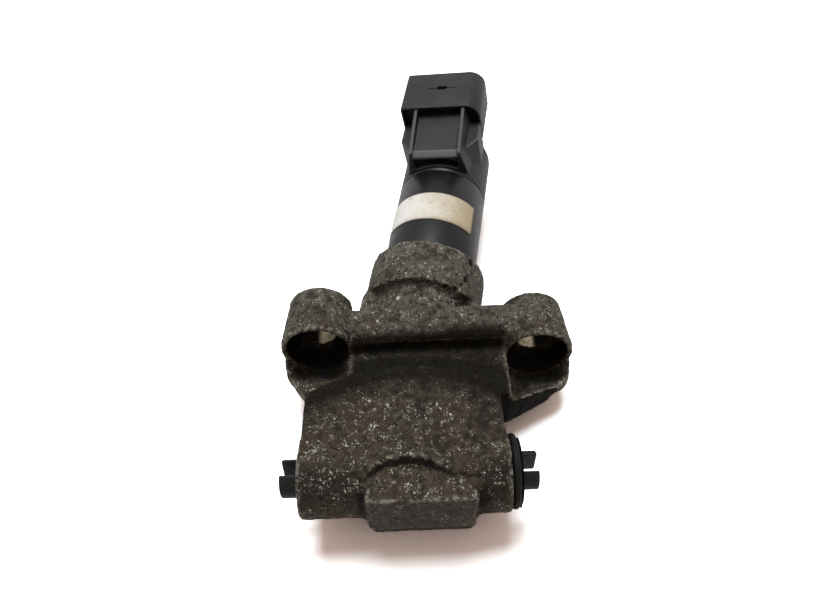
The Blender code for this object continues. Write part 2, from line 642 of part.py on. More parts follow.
def make_spreader(spreader, nut_axis, steel, bronze, rubber, gear_plastic):
    """Everything on the tappets' axis but the tappets: nut, wheel, bearings, guides, circlips, seals."""
    seat = head_bore_radius - FIT_GAP
    running = nut_radius + FIT_GAP
    half_wheel = WHEEL_WIDTH / 2
    left_bearing_end = nut_bearing_end(-1)
    right_bearing_end = nut_bearing_end(1)
    tube("spindle_nut", nut_bore_radius, nut_radius, NUT_SET_IN - left_bearing_end,
         right_bearing_end - NUT_SET_IN, nut_axis, steel, "X", SMALL_ROUND_SIDES)
    teeth = gear_outline(wheel_tip_radius, WHEEL_PITCH_RADIUS - TOOTH_DEDENDUM)
    wheel = prism("worm_wheel", teeth, -half_wheel, half_wheel, nut_axis, gear_plastic, DRAWN_FROM_SIDE)
    bore = rod("wheel_bore_cut", running, -WHEEL_WIDTH, WHEEL_WIDTH, nut_axis, None, "X", SMALL_ROUND_SIDES)
    combine(wheel, [bore], "DIFFERENCE")
    washer_start = half_wheel + FIT_GAP
    washer_end = washer_start + WASHER_THICKNESS
    tube("left_thrust_washer", running, seat, -washer_end, -washer_start, spreader, bronze, "X",
         SMALL_ROUND_SIDES)
    tube("right_thrust_washer", running, seat, washer_start, washer_end, spreader, bronze, "X",
         SMALL_ROUND_SIDES)
    spacer_start = washer_end + SEAT_GAP
    spacer_end = spacer_start + SPACER_LENGTH
    tube("right_spacer", running, seat, spacer_start, spacer_end, spreader, steel, "X", SMALL_ROUND_SIDES)
    tube("left_nut_bearing", running, seat, -left_bearing_end, NUT_BEARING_LENGTH - left_bearing_end,
         spreader, bronze, "X", SMALL_ROUND_SIDES)
    tube("right_nut_bearing", running, seat, right_bearing_end - NUT_BEARING_LENGTH, right_bearing_end,
         spreader, bronze, "X", SMALL_ROUND_SIDES)
    slide_radius = TAPPET_RADIUS + FIT_GAP
    for side, word, bearing_end in ((-1, "left", left_bearing_end), (1, "right", right_bearing_end)):
        clip = circlip_station(side)
        inner = side * (bearing_end + GUIDE_FACE_GAP)
        outer = clip - side * (CIRCLIP_THICKNESS / 2 + SEAT_GAP)
        low, high = sorted((inner, outer))
        tube(word + "_guide_bush", slide_radius, seat, low, high, spreader, steel, "X", SMALL_ROUND_SIDES)
        make_circlip(word + "_circlip", clip, spreader, steel)
    wiper_start = -circlip_station(-1) + CIRCLIP_THICKNESS / 2 + SEAT_GAP
    wiper_end = wiper_start + WIPER_THICKNESS + SEAT_GAP
    tube("left_boot", slide_radius, seat, -wiper_end, -wiper_start, spreader, rubber, "X")
    boot = HEAD_RIGHT_REACH + SEAT_GAP
    boot_face = boot + BOOT_THICKNESS
    fold = (slide_radius + BOOT_LIP_RADIUS) / 2
    profile = [
        (slide_radius, boot), (BOOT_RADIUS - FORK_CHAMFER, boot), (BOOT_RADIUS, boot + FORK_CHAMFER),
        (BOOT_RADIUS, boot_face - FORK_CHAMFER), (BOOT_RADIUS - FORK_CHAMFER, boot_face), (fold, boot_face),
        (BOOT_LIP_RADIUS, boot_face + BOOT_LIP_REACH / 2), (BOOT_LIP_RADIUS, boot_face + BOOT_LIP_REACH),
        (fold, boot_face + BOOT_LIP_REACH / 2), (slide_radius, boot_face + BOOT_LIP_REACH),
    ]
    turned("right_boot", profile, spreader, rubber, "X")


def make_circlip(name, station, parent, material):
    """A split ring that sits in its groove, open at the bottom."""
    outer = head_bore_radius + CIRCLIP_DEPTH
    inner = outer - CIRCLIP_WIDTH
    half = CIRCLIP_THICKNESS / 2
    bm = bmesh.new()
    low = station - half
    high = station + half
    corners = [(low, inner), (high, inner), (high, outer), (low, outer)]
    verts = [bm.verts.new((along, 0, -radius)) for along, radius in corners]
    edges = [bm.edges.new((verts[i - 1], verts[i])) for i in range(4)]
    bmesh.ops.rotate(bm, verts=verts, cent=(0, 0, 0), matrix=Matrix.Rotation(CIRCLIP_OPENING / 2, 3, "X"))
    bmesh.ops.spin(bm, geom=verts + edges, cent=(0, 0, 0), axis=(1, 0, 0),
                   angle=2 * math.pi - CIRCLIP_OPENING, steps=SMALL_ROUND_SIDES)
    bmesh.ops.holes_fill(bm, edges=[edge for edge in bm.edges if edge.is_boundary], sides=4)
    add_piece(name, bm, parent, material)


def make_tappet(name, side, reach, shoulder_gap, turn, parent, material):
    """A round tappet with a fork slot for the shoe web and a stem that screws into the nut."""
    stem = nut_bore_radius - FIT_GAP
    inner = nut_bearing_end(side) - NUT_SET_IN + shoulder_gap
    profile = [(0, STEM_CLEAR), (stem, STEM_CLEAR), (stem, inner), (TAPPET_RADIUS, inner),
               (TAPPET_RADIUS, reach - FORK_CHAMFER), (TAPPET_RADIUS - FORK_CHAMFER, reach), (0, reach)]
    if side < 0:
        profile = [(radius, -station) for radius, station in profile]
    tappet = turned(name, profile, parent, material, "X", SMALL_ROUND_SIDES)
    half = FORK_SLOT_WIDTH / 2
    ends = sorted((side * (reach - FORK_SLOT_DEPTH), side * 2 * reach))
    deep = 2 * TAPPET_RADIUS
    slot = block(name + "_slot_cut", (ends[0], -half, -deep), (ends[1], half, deep), parent)
    slot.rotation_euler.x = turn
    combine(tappet, [slot], "DIFFERENCE")


def make_shafts(rotor, motor, steel, bronze, copper, core_steel):
    """What turns with the motor, and the bearings that carry it."""
    bush_end = WORM_FRONT - FIT_GAP
    running = SHAFT_RADIUS + FIT_GAP
    coupling_middle = coupling_start + COUPLING_LENGTH / 2
    rod("worm_shaft", SHAFT_RADIUS, bush_end - END_BUSH_LENGTH, coupling_middle - SEAT_GAP / 2, rotor, steel,
        sides=SMALL_ROUND_SIDES)
    tube("worm_end_bush", running, END_BUSH_RADIUS, bush_end - END_BUSH_LENGTH, bush_end - FIT_GAP, motor,
         bronze, sides=SMALL_ROUND_SIDES)
    bearing_end = worm_bearing_start + WORM_BEARING_LENGTH
    tube("worm_bearing", running, WORM_BEARING_RADIUS, worm_bearing_start, bearing_end, motor, steel,
         sides=SMALL_ROUND_SIDES)
    tube("drive_coupling", running, COUPLING_RADIUS, coupling_start, coupling_start + COUPLING_LENGTH, rotor,
         steel, sides=SMALL_ROUND_SIDES)
    rear_bush_start = cap_start + REAR_BUSH_LENGTH / 2
    rear_bush_end = rear_bush_start + REAR_BUSH_LENGTH
    rod("rotor_shaft", SHAFT_RADIUS, coupling_middle + SEAT_GAP / 2, rear_bush_end - SEAT_GAP, rotor, steel,
        sides=SMALL_ROUND_SIDES)
    tube("rear_bush", running, REAR_BUSH_RADIUS, rear_bush_start, rear_bush_end, motor, bronze,
         sides=SMALL_ROUND_SIDES)
    front_middle = CAN_START + CAN_FRONT_WALL / 2
    tube("front_bearing", running, FRONT_BEARING_RADIUS, front_middle - FRONT_BEARING_LENGTH / 2,
         front_middle + FRONT_BEARING_LENGTH / 2, motor, steel, sides=SMALL_ROUND_SIDES)
    step = 2 * math.pi / CORE_POLES
    outline = []
    for pole in range(CORE_POLES):
        middle = pole * step
        face = [middle + CORE_FACE_SHARE * step * (part / CORE_FACE_STEPS - 0.5)
                for part in range(CORE_FACE_STEPS + 1)]
        neck_half = CORE_NECK_SHARE * step / 2
        corners = [(core_slot_radius, middle - neck_half)]
        corners += [(core_radius, angle) for angle in face]
        corners.append((core_slot_radius, middle + neck_half))
        outline += [(radius * math.cos(angle), radius * math.sin(angle)) for radius, angle in corners]
    core = prism("armature_core", outline, core_start, core_end, rotor, core_steel, DRAWN_FROM_FRONT)
    bore = rod("core_bore_cut", running, 0, 2 * core_end, rotor, sides=SMALL_ROUND_SIDES)
    combine(core, [bore], "DIFFERENCE")
    turn = WINDING_LENGTH / 4
    for word, low in (("front", core_start - SEAT_GAP - WINDING_LENGTH), ("rear", core_end + SEAT_GAP)):
        high = low + WINDING_LENGTH
        ring = [(running, low + turn), (running, high - turn), (running + turn, high),
                (winding_radius - turn, high), (winding_radius, high - turn), (winding_radius, low + turn),
                (winding_radius - turn, low), (running + turn, low)]
        turned(word + "_winding", ring, rotor, copper, sides=SMALL_ROUND_SIDES)
    commutator_start = core_end + 2 * SEAT_GAP + WINDING_LENGTH
    tube("commutator", running, COMMUTATOR_RADIUS, commutator_start, commutator_start + COMMUTATOR_LENGTH,
         rotor, copper, sides=SMALL_ROUND_SIDES)


def make_motor(motor, can_paint, magnet, plastic, carbon, rubber, paper):
    """The can with its magnets, brush gear, seal and label."""
    inner = CAN_RADIUS - CAN_WALL
    hole = FRONT_BEARING_RADIUS + FIT_GAP
    can = [(hole, CAN_START), (CAN_RADIUS, CAN_START), (CAN_RADIUS, can_end), (inner, can_end),
           (inner, CAN_START + CAN_FRONT_WALL), (hole, CAN_START + CAN_FRONT_WALL)]
    turned("motor_can", can, motor, can_paint)
    for word, middle in (("left", math.pi), ("right", 0)):
        bent_plate(word + "_magnet", magnet_seat - MAGNET_THICKNESS, magnet_seat, middle - MAGNET_ANGLE / 2,
                   middle + MAGNET_ANGLE / 2, magnet_start, magnet_start + magnet_length, motor, magnet,
                   MAGNET_STEPS)
    tube("brush_card", COMMUTATOR_RADIUS + 3 * FIT_GAP, magnet_seat, brush_card_start,
         brush_card_start + BRUSH_CARD_THICKNESS, motor, plastic)
    brush_start = brush_card_start - SEAT_GAP - BRUSH_SIDE
    half = BRUSH_SIDE / 2
    brush_face = COMMUTATOR_RADIUS + FIT_GAP
    brush_back = brush_face + BRUSH_LENGTH
    spring_back = brush_back + SEAT_GAP + BRUSH_SIDE / 2
    brush_end = brush_start + BRUSH_SIDE
    for word, side in (("left", -1), ("right", 1)):
        low, high = sorted((side * brush_face, side * brush_back))
        block(word + "_brush", (low, brush_start, -half), (high, brush_end, half), motor, carbon)
        low, high = sorted((side * (brush_back + SEAT_GAP), side * spring_back))
        block(word + "_brush_spring", (low, brush_start, -half), (high, brush_end, half), motor, can_paint)
    seal_centre = collar_step + COLLAR_LENGTH - CAN_SEAL_SET_BACK
    seal_radius = CAN_RADIUS + FIT_GAP + CAN_SEAL_SECTION
    ring = arc((seal_radius, seal_centre), CAN_SEAL_SECTION, 0, 360 - 360 / SEAL_SIDES, SEAL_SIDES - 1)
    turned("can_seal", ring, motor, rubber)
    skin = CAN_RADIUS + FIT_GAP
    bent_plate("label", skin, skin + LABEL_THICKNESS, LABEL_FROM, LABEL_TO, label_start,
               label_start + LABEL_WIDTH, motor, paper, LABEL_STEPS)


def make_end_cap(motor, connector, plastic, tin):
    """The moulded cap that closes the can, with the connector shroud standing on its neck."""
    spigot = CAN_RADIUS - CAN_WALL - FIT_GAP
    spigot_start = cap_start - CAP_SPIGOT_LENGTH
    profile = [(0, spigot_start), (spigot, spigot_start), (spigot, cap_start), (CAN_RADIUS, cap_start)]
    profile += arc((CAN_RADIUS - CAP_EDGE_RADIUS, cap_end - CAP_EDGE_RADIUS), CAP_EDGE_RADIUS, 0, 90,
                   EDGE_STEPS)
    profile.append((0, cap_end))
    cap = turned("end_cap", profile, motor, plastic)

    neck_end = cap_start + NECK_LENGTH
    shroud_end = neck_end + SHROUD_LENGTH
    rib_top = neck_far_height + NECK_RIB_FAR_HEIGHT
    neck = [(-NECK_FOOT_HALF_WIDTH, 0), (NECK_FOOT_HALF_WIDTH, 0), (NECK_HALF_WIDTH, rib_top),
            (-NECK_HALF_WIDTH, rib_top)]
    top = neck_far_height + SHROUD_HEIGHT_ABOVE_NECK
    bottom = top - SHROUD_DEPTH
    outer = rounded_box_outline(-SHROUD_HALF_WIDTH, SHROUD_HALF_WIDTH, bottom, top, SHROUD_ROUND,
                                SHROUD_CORNER)
    shoulder_half = SHROUD_HALF_WIDTH - FIT_GAP
    corner = neck_end - NECK_SHOULDER_FLAT
    far = neck_end + SHROUD_WALL / 2
    point = neck_end - NECK_SHOULDER_REACH
    shoulder = [(-shoulder_half, far), (-shoulder_half, corner), (-NECK_HALF_WIDTH, point),
                (NECK_HALF_WIDTH, point), (shoulder_half, corner), (shoulder_half, far)]
    combine(cap, [
        prism("neck_shoulder_shape", shoulder, NECK_SHOULDER_LOW, top - NECK_SHOULDER_DROP, connector),
        prism("neck_shape", neck, cap_start + FIT_GAP, neck_end + SHROUD_WALL, connector,
              drawing=DRAWN_FROM_FRONT),
        prism("shroud_shape", outer, neck_end, shroud_end, connector, drawing=DRAWN_FROM_FRONT),
    ], "UNION")

    inside_half = SHROUD_HALF_WIDTH - SHROUD_WALL
    inside = rounded_box_outline(-inside_half, inside_half, bottom + SHROUD_WALL, top - SHROUD_WALL,
                                 SHROUD_ROUND - SHROUD_WALL, SHROUD_CORNER)
    socket_floor = shroud_end - SOCKET_DEPTH
    slope = (neck_far_height - neck_near_height) / NECK_LENGTH
    before = NECK_RIB_WIDTH
    low_near = neck_near_height - slope * before
    over = top + NECK_RIB_HEIGHT
    near_end = cap_start - before
    ribs = [(near_end, low_near + NECK_RIB_HEIGHT), (neck_end, rib_top), (neck_end, over), (near_end, over)]
    plate = [(near_end, low_near), (neck_end, neck_far_height), (neck_end, over), (near_end, over)]
    plate_half = NECK_HALF_WIDTH - NECK_RIB_WIDTH
    cavity_end = cap_start + CAP_CAVITY_DEPTH
    bush_start = cap_start + REAR_BUSH_LENGTH / 2 - SEAT_GAP
    bush_seat = REAR_BUSH_RADIUS + FIT_GAP
    bush_end = bush_start + REAR_BUSH_LENGTH + 2 * SEAT_GAP
    cavity = [(0, spigot_start - before), (cap_cavity_radius, spigot_start - before),
              (cap_cavity_radius, cavity_end), (CAP_BOSS_RADIUS, cavity_end), (CAP_BOSS_RADIUS, bush_start),
              (bush_seat, bush_start), (bush_seat, bush_end), (0, bush_end)]
    cuts = [
        prism("socket_cut", inside, socket_floor, shroud_end + SHROUD_WALL, connector,
              drawing=DRAWN_FROM_FRONT),
        prism("rib_top_cut", ribs, -SHROUD_HALF_WIDTH, SHROUD_HALF_WIDTH, connector,
              drawing=DRAWN_FROM_SIDE),
        prism("plate_cut", plate, -plate_half, plate_half, connector, drawing=DRAWN_FROM_SIDE),
        block("neck_recess_cut", (-plate_half, near_end, CAN_RADIUS + FIT_GAP),
              (plate_half, cap_start + NECK_RECESS_DEPTH, neck_near_height - NECK_LIP), connector),
        turned("cap_cavity_cut", cavity, motor, sides=BORE_SIDES),
    ]
    half_width = TERMINAL_WIDTH / 2
    half_thick = TERMINAL_THICKNESS / 2
    middle = (top + bottom) / 2
    root = socket_floor - TERMINAL_ROOT
    for number, side in ((1, -1), (2, 1)):
        across = side * TERMINAL_SPACING / 2
        low = Vector((across - half_width, root, middle - half_thick))
        high = Vector((across + half_width, root + TERMINAL_LENGTH, middle + half_thick))
        grown = Vector((FIT_GAP, FIT_GAP, FIT_GAP))
        block(f"terminal_{number}", low, high, connector, tin)
        cuts.append(block(f"terminal_{number}_cut", low - grown, high + grown, connector))
    combine(cap, cuts, "DIFFERENCE")


def stand_on_origin(assembly):
    """Moves the assembly so that the middle of its footprint lies at the origin."""
    bpy.context.view_layer.update()
    graph = bpy.context.evaluated_depsgraph_get()
    corners = []
    for piece in bpy.data.objects:
        if piece.type == "MESH" and not piece.hide_render:
            evaluated = piece.evaluated_get(graph)
            corners += [evaluated.matrix_world @ vert.co for vert in evaluated.data.vertices]
    low = Vector([min(corner[i] for corner in corners) for i in range(3)])
    high = Vector([max(corner[i] for corner in corners) for i in range(3)])
    assembly.location = (-(low.x + high.x) / 2, -(low.y + high.y) / 2, -low.z)
    bpy.context.view_layer.update()


def main():
    clear_scene()
    cast = finish("cast_aluminium", (0.12, 0.11, 0.095), 0.75, 0.3)
    steel = finish("steel", (0.30, 0.30, 0.31), 0.4, 1.0)
    tappet_steel = finish("tappet_steel", (0.03, 0.03, 0.03), 0.5, 0.6)
    core_steel = finish("core_steel", (0.18, 0.18, 0.2), 0.5, 0.9)
    bronze = finish("bronze", (0.45, 0.28, 0.12), 0.4, 1.0)
    copper = finish("copper", (0.6, 0.25, 0.12), 0.35, 1.0)
    can_paint = finish("black_paint", (0.035, 0.035, 0.038), 0.45, 0.2)
    plastic = finish("black_plastic", (0.045, 0.045, 0.047), 0.55, 0.0)
    gear_plastic = finish("gear_plastic", (0.6, 0.55, 0.42), 0.5, 0.0)
    rubber = finish("black_rubber", (0.015, 0.015, 0.015), 0.8, 0.0)
    magnet = finish("ferrite", (0.06, 0.06, 0.065), 0.7, 0.0)
    carbon = finish("carbon", (0.03, 0.03, 0.03), 0.6, 0.0)
    tin = finish("tinned_brass", (0.6, 0.58, 0.5), 0.3, 1.0)
    paper = finish("label_paper", (0.85, 0.83, 0.78), 0.6, 0.0)

    assembly = add_empty("assembly")
    turned_to_motor = Matrix((motor_right, motor_axis, motor_up)).transposed().to_4x4()
    motor_place = Matrix.Translation(worm_centre) @ turned_to_motor
    motor = add_empty("motor_axis", assembly, motor_place)
    rotor = add_empty("rotor_axis", assembly, motor_place)
    connector = add_empty("connector_frame", motor, Matrix.Rotation(-CONNECTOR_ROLL, 4, "Y"))
    spreader_place = Matrix.Translation(spreader_centre)
    spreader = add_empty("spreader_axis", assembly, spreader_place)
    nut_axis = add_empty("nut_axis", assembly, spreader_place)
    left_slide = add_empty("left_tappet_axis", assembly, spreader_place)
    right_slide = add_empty("right_tappet_axis", assembly, spreader_place)

    make_housing(assembly, motor, cast)
    make_spreader(spreader, nut_axis, steel, bronze, rubber, gear_plastic)
    make_tappet("left_tappet", -1, TAPPET_LEFT_REACH, TAPPET_LEFT_GAP, LEFT_FORK_TURN, left_slide,
                tappet_steel)
    make_tappet("right_tappet", 1, TAPPET_RIGHT_REACH, TAPPET_RIGHT_GAP, 0, right_slide, tappet_steel)
    make_worm(rotor, steel)
    make_shafts(rotor, motor, steel, bronze, copper, core_steel)
    make_motor(motor, can_paint, magnet, plastic, carbon, rubber, paper)
    make_end_cap(motor, connector, plastic, tin)
    stand_on_origin(assembly)


main()
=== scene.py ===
"""Looks of an electric drum parking brake expander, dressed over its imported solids. Metres, +Z up."""

import json
import math

import bmesh
import bpy
import numpy as np
from mathutils import Matrix, Vector, noise
from mathutils.bvhtree import BVHTree

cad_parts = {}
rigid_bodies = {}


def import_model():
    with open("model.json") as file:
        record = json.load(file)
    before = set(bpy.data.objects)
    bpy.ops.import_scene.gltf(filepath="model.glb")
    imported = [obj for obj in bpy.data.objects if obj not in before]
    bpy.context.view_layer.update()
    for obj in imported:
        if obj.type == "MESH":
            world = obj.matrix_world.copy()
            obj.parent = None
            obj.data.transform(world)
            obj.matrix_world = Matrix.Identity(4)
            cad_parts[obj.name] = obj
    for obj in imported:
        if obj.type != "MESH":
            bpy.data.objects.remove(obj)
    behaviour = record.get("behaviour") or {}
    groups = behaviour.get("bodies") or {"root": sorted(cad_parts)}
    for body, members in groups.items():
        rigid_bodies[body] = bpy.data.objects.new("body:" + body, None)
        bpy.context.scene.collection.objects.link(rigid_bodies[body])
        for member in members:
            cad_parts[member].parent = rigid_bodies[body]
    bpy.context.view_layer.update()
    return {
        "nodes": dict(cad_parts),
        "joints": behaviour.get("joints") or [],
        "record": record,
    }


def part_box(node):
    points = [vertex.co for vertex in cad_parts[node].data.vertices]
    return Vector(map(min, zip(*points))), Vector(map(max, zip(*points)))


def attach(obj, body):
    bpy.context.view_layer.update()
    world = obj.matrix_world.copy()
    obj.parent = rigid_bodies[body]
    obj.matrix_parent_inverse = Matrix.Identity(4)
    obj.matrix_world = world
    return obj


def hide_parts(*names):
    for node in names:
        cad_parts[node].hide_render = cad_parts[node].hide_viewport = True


for old in list(bpy.data.objects):
    bpy.data.objects.remove(old, do_unlink=True)
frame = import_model()

# Stand: a plain white floor under soft studio light, seen from above and in front. The floor looks brighter
# to the camera than it is as a light source, so that it is white and keeps only the deep part of the shadow.
# The sky is warm and the lamp cool, so the shadow is warm on a neutral floor.
CAMERA_PLACE = Vector((-0.002692, -0.172467, 0.214458))
LOOK_DOWN = math.radians(49.03)
LOOK_ROUND = math.radians(0.898)
CAMERA_ROLL = math.radians(-2.926)
CAMERA_LENS = 29.378
FLOOR_HALF = 0.9
FLOOR_COLOUR = (0.62, 0.6, 0.58, 1)
FLOOR_MIRRORED = (0.95, 0.93, 0.91, 1)
FLOOR_SEEN = (2.2, 2.2, 2.2, 1)
SKY_LOW, SKY_HIGH = 0.0375, 0.6
SKY_COLOUR = (1, 0.76, 0.656, 1)
KEY_PLACE = Vector((-0.04, 0.14, 1.07))
KEY_SIZE = 0.44
KEY_POWER = 10.9
KEY_COLOUR = (0.884, 0.965, 1.0)

scene = bpy.context.scene
scene.view_settings.view_transform = "Standard"

camera_data = bpy.data.cameras.new("camera")
camera_data.lens = CAMERA_LENS
camera = bpy.data.objects.new("camera", camera_data)
scene.collection.objects.link(camera)
look = Matrix.Rotation(LOOK_ROUND, 4, "Z")
look = look @ Matrix.Rotation(math.pi / 2 - LOOK_DOWN, 4, "X")
look = look @ Matrix.Rotation(CAMERA_ROLL, 4, "Z")
camera.matrix_world = Matrix.Translation(CAMERA_PLACE) @ look
scene.camera = camera


def set_inputs(node, inputs):
    """Links each input to a socket, or sets it to a value."""
    for key, value in inputs.items():
        if isinstance(value, bpy.types.NodeSocket):
            node.id_data.links.new(value, node.inputs[key])
        else:
            node.inputs[key].default_value = value


def add_node(tree, kind, inputs, **settings):
    made = tree.nodes.new(kind)
    for key, value in settings.items():
        setattr(made, key, value)
    set_inputs(made, inputs)
    return made


def maths(operation, first, second):
    """Works out a socket with a socket or a number, in the first one's own tree."""
    return add_node(first.id_data, "ShaderNodeMath", {0: first, 1: second}, operation=operation).outputs[0]


def times(first, second):
    return maths("MULTIPLY", first, second)


def mixed(factor, under, over):
    shaders = {0: factor, 1: under.outputs[0], 2: over.outputs[0]}
    return add_node(factor.id_data, "ShaderNodeMixShader", shaders)


def seen_by(tree):
    """One for what the camera sees straight, and one for what it sees in a reflection or through glass."""
    path = tree.nodes.new("ShaderNodeLightPath")
    mirrored = maths("MAXIMUM", path.outputs["Is Glossy Ray"], path.outputs["Is Transmission Ray"])
    return path.outputs["Is Camera Ray"], mirrored


floor_mesh = bmesh.new()
bmesh.ops.create_grid(floor_mesh, x_segments=1, y_segments=1, size=FLOOR_HALF)
floor_data = bpy.data.meshes.new("floor")
floor_mesh.to_mesh(floor_data)
floor_mesh.free()
floor = bpy.data.objects.new("floor", floor_data)
scene.collection.objects.link(floor)
floor_look = bpy.data.materials.new("floor_white")
floor_look.use_nodes = True
tree = floor_look.node_tree
tree.nodes.clear()
lighting = add_node(tree, "ShaderNodeBsdfDiffuse", {"Color": FLOOR_COLOUR})
mirroring = add_node(tree, "ShaderNodeBsdfDiffuse", {"Color": FLOOR_MIRRORED})
looking = add_node(tree, "ShaderNodeBsdfDiffuse", {"Color": FLOOR_SEEN})
straight, mirrored = seen_by(tree)
unseen = mixed(mirrored, lighting, mirroring)
surface = mixed(straight, unseen, looking)
add_node(tree, "ShaderNodeOutputMaterial", {"Surface": surface.outputs[0]})
floor_data.materials.append(floor_look)

sky = bpy.data.worlds.new("sky")
sky.use_nodes = True
tree = sky.node_tree
tree.nodes.clear()
direction = tree.nodes.new("ShaderNodeTexCoord").outputs["Generated"]
height = add_node(tree, "ShaderNodeSeparateXYZ", {"Vector": direction})
above = maths("MAXIMUM", height.outputs["Z"], 0.0)
squared = times(above, above)
shade = add_node(tree, "ShaderNodeMapRange", {"Value": squared, "To Min": SKY_LOW, "To Max": SKY_HIGH})
straight, mirrored = seen_by(tree)
lighting = add_node(tree, "ShaderNodeBackground", {"Color": SKY_COLOUR, "Strength": shade.outputs["Result"]})
looking = add_node(tree, "ShaderNodeBackground", {"Color": (1, 1, 1, 1), "Strength": 1.0})
seen = maths("MAXIMUM", straight, mirrored)
surface = mixed(seen, lighting, looking)
add_node(tree, "ShaderNodeOutputWorld", {"Surface": surface.outputs[0]})
scene.world = sky

key_data = bpy.data.lights.new("key", "AREA")
key_data.size = KEY_SIZE
key_data.energy = KEY_POWER
key_data.color = KEY_COLOUR
key = bpy.data.objects.new("key", key_data)
scene.collection.objects.link(key)
key.matrix_world = Matrix.Translation(KEY_PLACE) @ KEY_PLACE.to_track_quat("Z", "Y").to_matrix().to_4x4()

# Casting: one gravity-cast aluminium body with the barrel for the tappets, the worm block, two bolt ears on
# a web and the motor collar. It is left rough, and road salt has turned its skin dark and speckled with
# white corrosion; only the bores and the bolt holes are machined.
# Shade in its hollows, in the groove behind the barrel, along the pad's step, beside the pad, on the brace
# and in the dents is painted into its colour.
SKIN_VOXEL = 0.0007
FIRST_ROUNDS = 2
SKIN_ROUNDS = 2
SKIN_ROUNDS_BEHIND = 3
HOLLOW_BEND = 0.46
HOLLOW_GROWTH = 3
HOLLOW_ROUNDS = 14
CONVEXITY_GAIN = 1.6
CONVEXITY_SPREAD = 3
WAVE_HEIGHT, WAVE_SCALE = 0.0002, 300
GRAIN_HEIGHT, GRAIN_SCALE = 0.00009, 900
PIT_DEPTH, PIT_SCALE = 0.0003, 560
PIT_OFFSET = Vector((7, 3, 1))
PAD_TOP = 0.0374
PAD_LEFT, PAD_RIGHT = -0.0204, 0.0124
PAD_FRONT = -0.0845
PAD_MIDDLE = -0.0075
PAD_EDGE_REACH = 0.0125
PAD_MARGIN = 0.001
PAD_RIM = 0.0016
PAD_STEP, PAD_STEP_TAPER = 0.0021, 0.0012
PAD_STEP_RAGGED = 0.0003
PAD_STEP_SHADE = 0.62
PAD_ARCH = (
    (-0.0204, -0.0852), (-0.0194, -0.0845), (-0.017, -0.0824), (-0.0142, -0.0805), (-0.0098, -0.0798),
    (-0.0055, -0.0797), (-0.0025, -0.0805), (0.0008, -0.0823), (0.0045, -0.0843), (0.0124, -0.0853),
)
NOOK_REACH = (0.007, 0.012)
NOOK_NEAR = 0.0005
NOOK_FADE = 0.003
NOOK_SHADE = 0.52
EAR_DEPTH = 0.006
BOLT_HOLE_RADIUS = 0.0052
BOLT_HOLE_MARGIN = 0.0007
BOLT_HOLE_SHADE_EDGE = (-0.0014, 0.0002)
LEFT_HOLE_DIMMED = 0.72
COUNTERBORE_RADIUS = 0.01064
COUNTERBORE_RIM = 0.0012
COUNTERBORE_MARGIN = 0.0004
CAN_RADIUS = 0.01785
CAN_BORE_MARGIN = 0.0006
BORE_RADIUS = 0.01
BORE_MARGIN = 0.0009
BORE_POLISH = 0.6
DIRTY_BORE, LEAST_POLISH = 0.02, 0.05
WORM_BORE = 0.013
BORE_EASE = 0.0006
SKY_RAYS = 26
SKY_DIP = 1.1
SKY_REACH = 0.03
RAY_LIFT = 0.0004
RAY_GRAZE = 0.05
SHADE_FROM, SHADE_FULL = 0.28, 0.62
BRACE_LEFT, BRACE_BACK, BRACE_TOP = 0.0228, -0.0435, 0.0245
BRACE_SHADE = 0.62
GROOVE_HALF = 0.0285
GROOVE_MIDDLE = -0.002
GROOVE_BACK = -0.0305
GROOVE_TOP = 0.035
GROOVE_RIM = 0.001
GROOVE_END_FADE = 0.004
GROOVE_TOP_FADE = 0.003
GROOVE_ARCH = (-0.007, -0.1058, 0.06)
GROOVE_START = (-0.0036, -0.0008)
GROOVE_ASIDE = (0.003, 0.018)
GROOVE_SHADE = 0.53
UNDER_BROW = (0.011, 0.0091)
HEAD_BACK = (-0.044, -0.046)
BROW_FADE = (-0.0175, -0.0065)
BROW_EDGE = (-0.0078, -0.004)
WEB_FRONT = (-0.0345, -0.0335)
WEB_LEVEL = (0.0325, 0.0335)
WEB_OVERRUN = 0.002
WEB_ROUND = (-0.0268, -0.0305)
WEB_LIP = (-0.0303, -0.0325)
WEB_RIGHTWARD = (-0.012, 0.018)
MOTTLE_SCALE = 260
LEFT_LEDGES = (
    ((-0.049, -0.0375, 0.0206), (-0.0475, -0.041, 0.0226), (-0.0437, -0.0467, 0.0248),
     (-0.0409, -0.0506, 0.026), (-0.0394, -0.0544, 0.027), (-0.03, -0.05, 0.0265),
     (-0.03, -0.036, 0.018), (-0.048, -0.0345, 0.018)),
    ((-0.0502, -0.0343, 0.0262), (-0.0462, -0.0343, 0.0208), (-0.044, -0.0343, 0.0186),
     (-0.0496, -0.0378, 0.0216), (-0.0478, -0.0408, 0.0222), (-0.045, -0.038, 0.0194),
     (-0.05, -0.03, 0.025), (-0.046, -0.03, 0.02)),
)
RIGHT_LEDGES = (
    ((0.0493, -0.038, 0.0152), (0.0477, -0.0412, 0.0156), (0.0452, -0.0434, 0.0164),
     (0.0416, -0.045, 0.0182), (0.03, -0.044, 0.016), (0.03, -0.036, 0.011),
     (0.048, -0.0345, 0.0115)),
    ((0.0502, -0.0343, 0.0192), (0.0462, -0.0343, 0.0138), (0.044, -0.0343, 0.0116),
     (0.0497, -0.0378, 0.0158), (0.0479, -0.041, 0.016), (0.045, -0.038, 0.0124),
     (0.05, -0.03, 0.018), (0.046, -0.03, 0.013)),
)
LEDGE_DEPTH = 0.0035
DENTS = (
    ((0.0176, -0.0003, 0.0358), 0.0019, 0.0014), ((0.0148, -0.0088, 0.0364), 0.0016, 0.0007),
    ((0.0104, -0.014, 0.0373), 0.0017, 0.0006), ((0.007, -0.0136, 0.0386), 0.0013, 0.0005),
    ((0.0128, -0.0118, 0.0368), 0.0011, 0.0006),
)
DENT_REACH = 1.3
DENT_RAGGED, DENT_SCALE = 0.35, 700
DENT_SHADE = 0.6
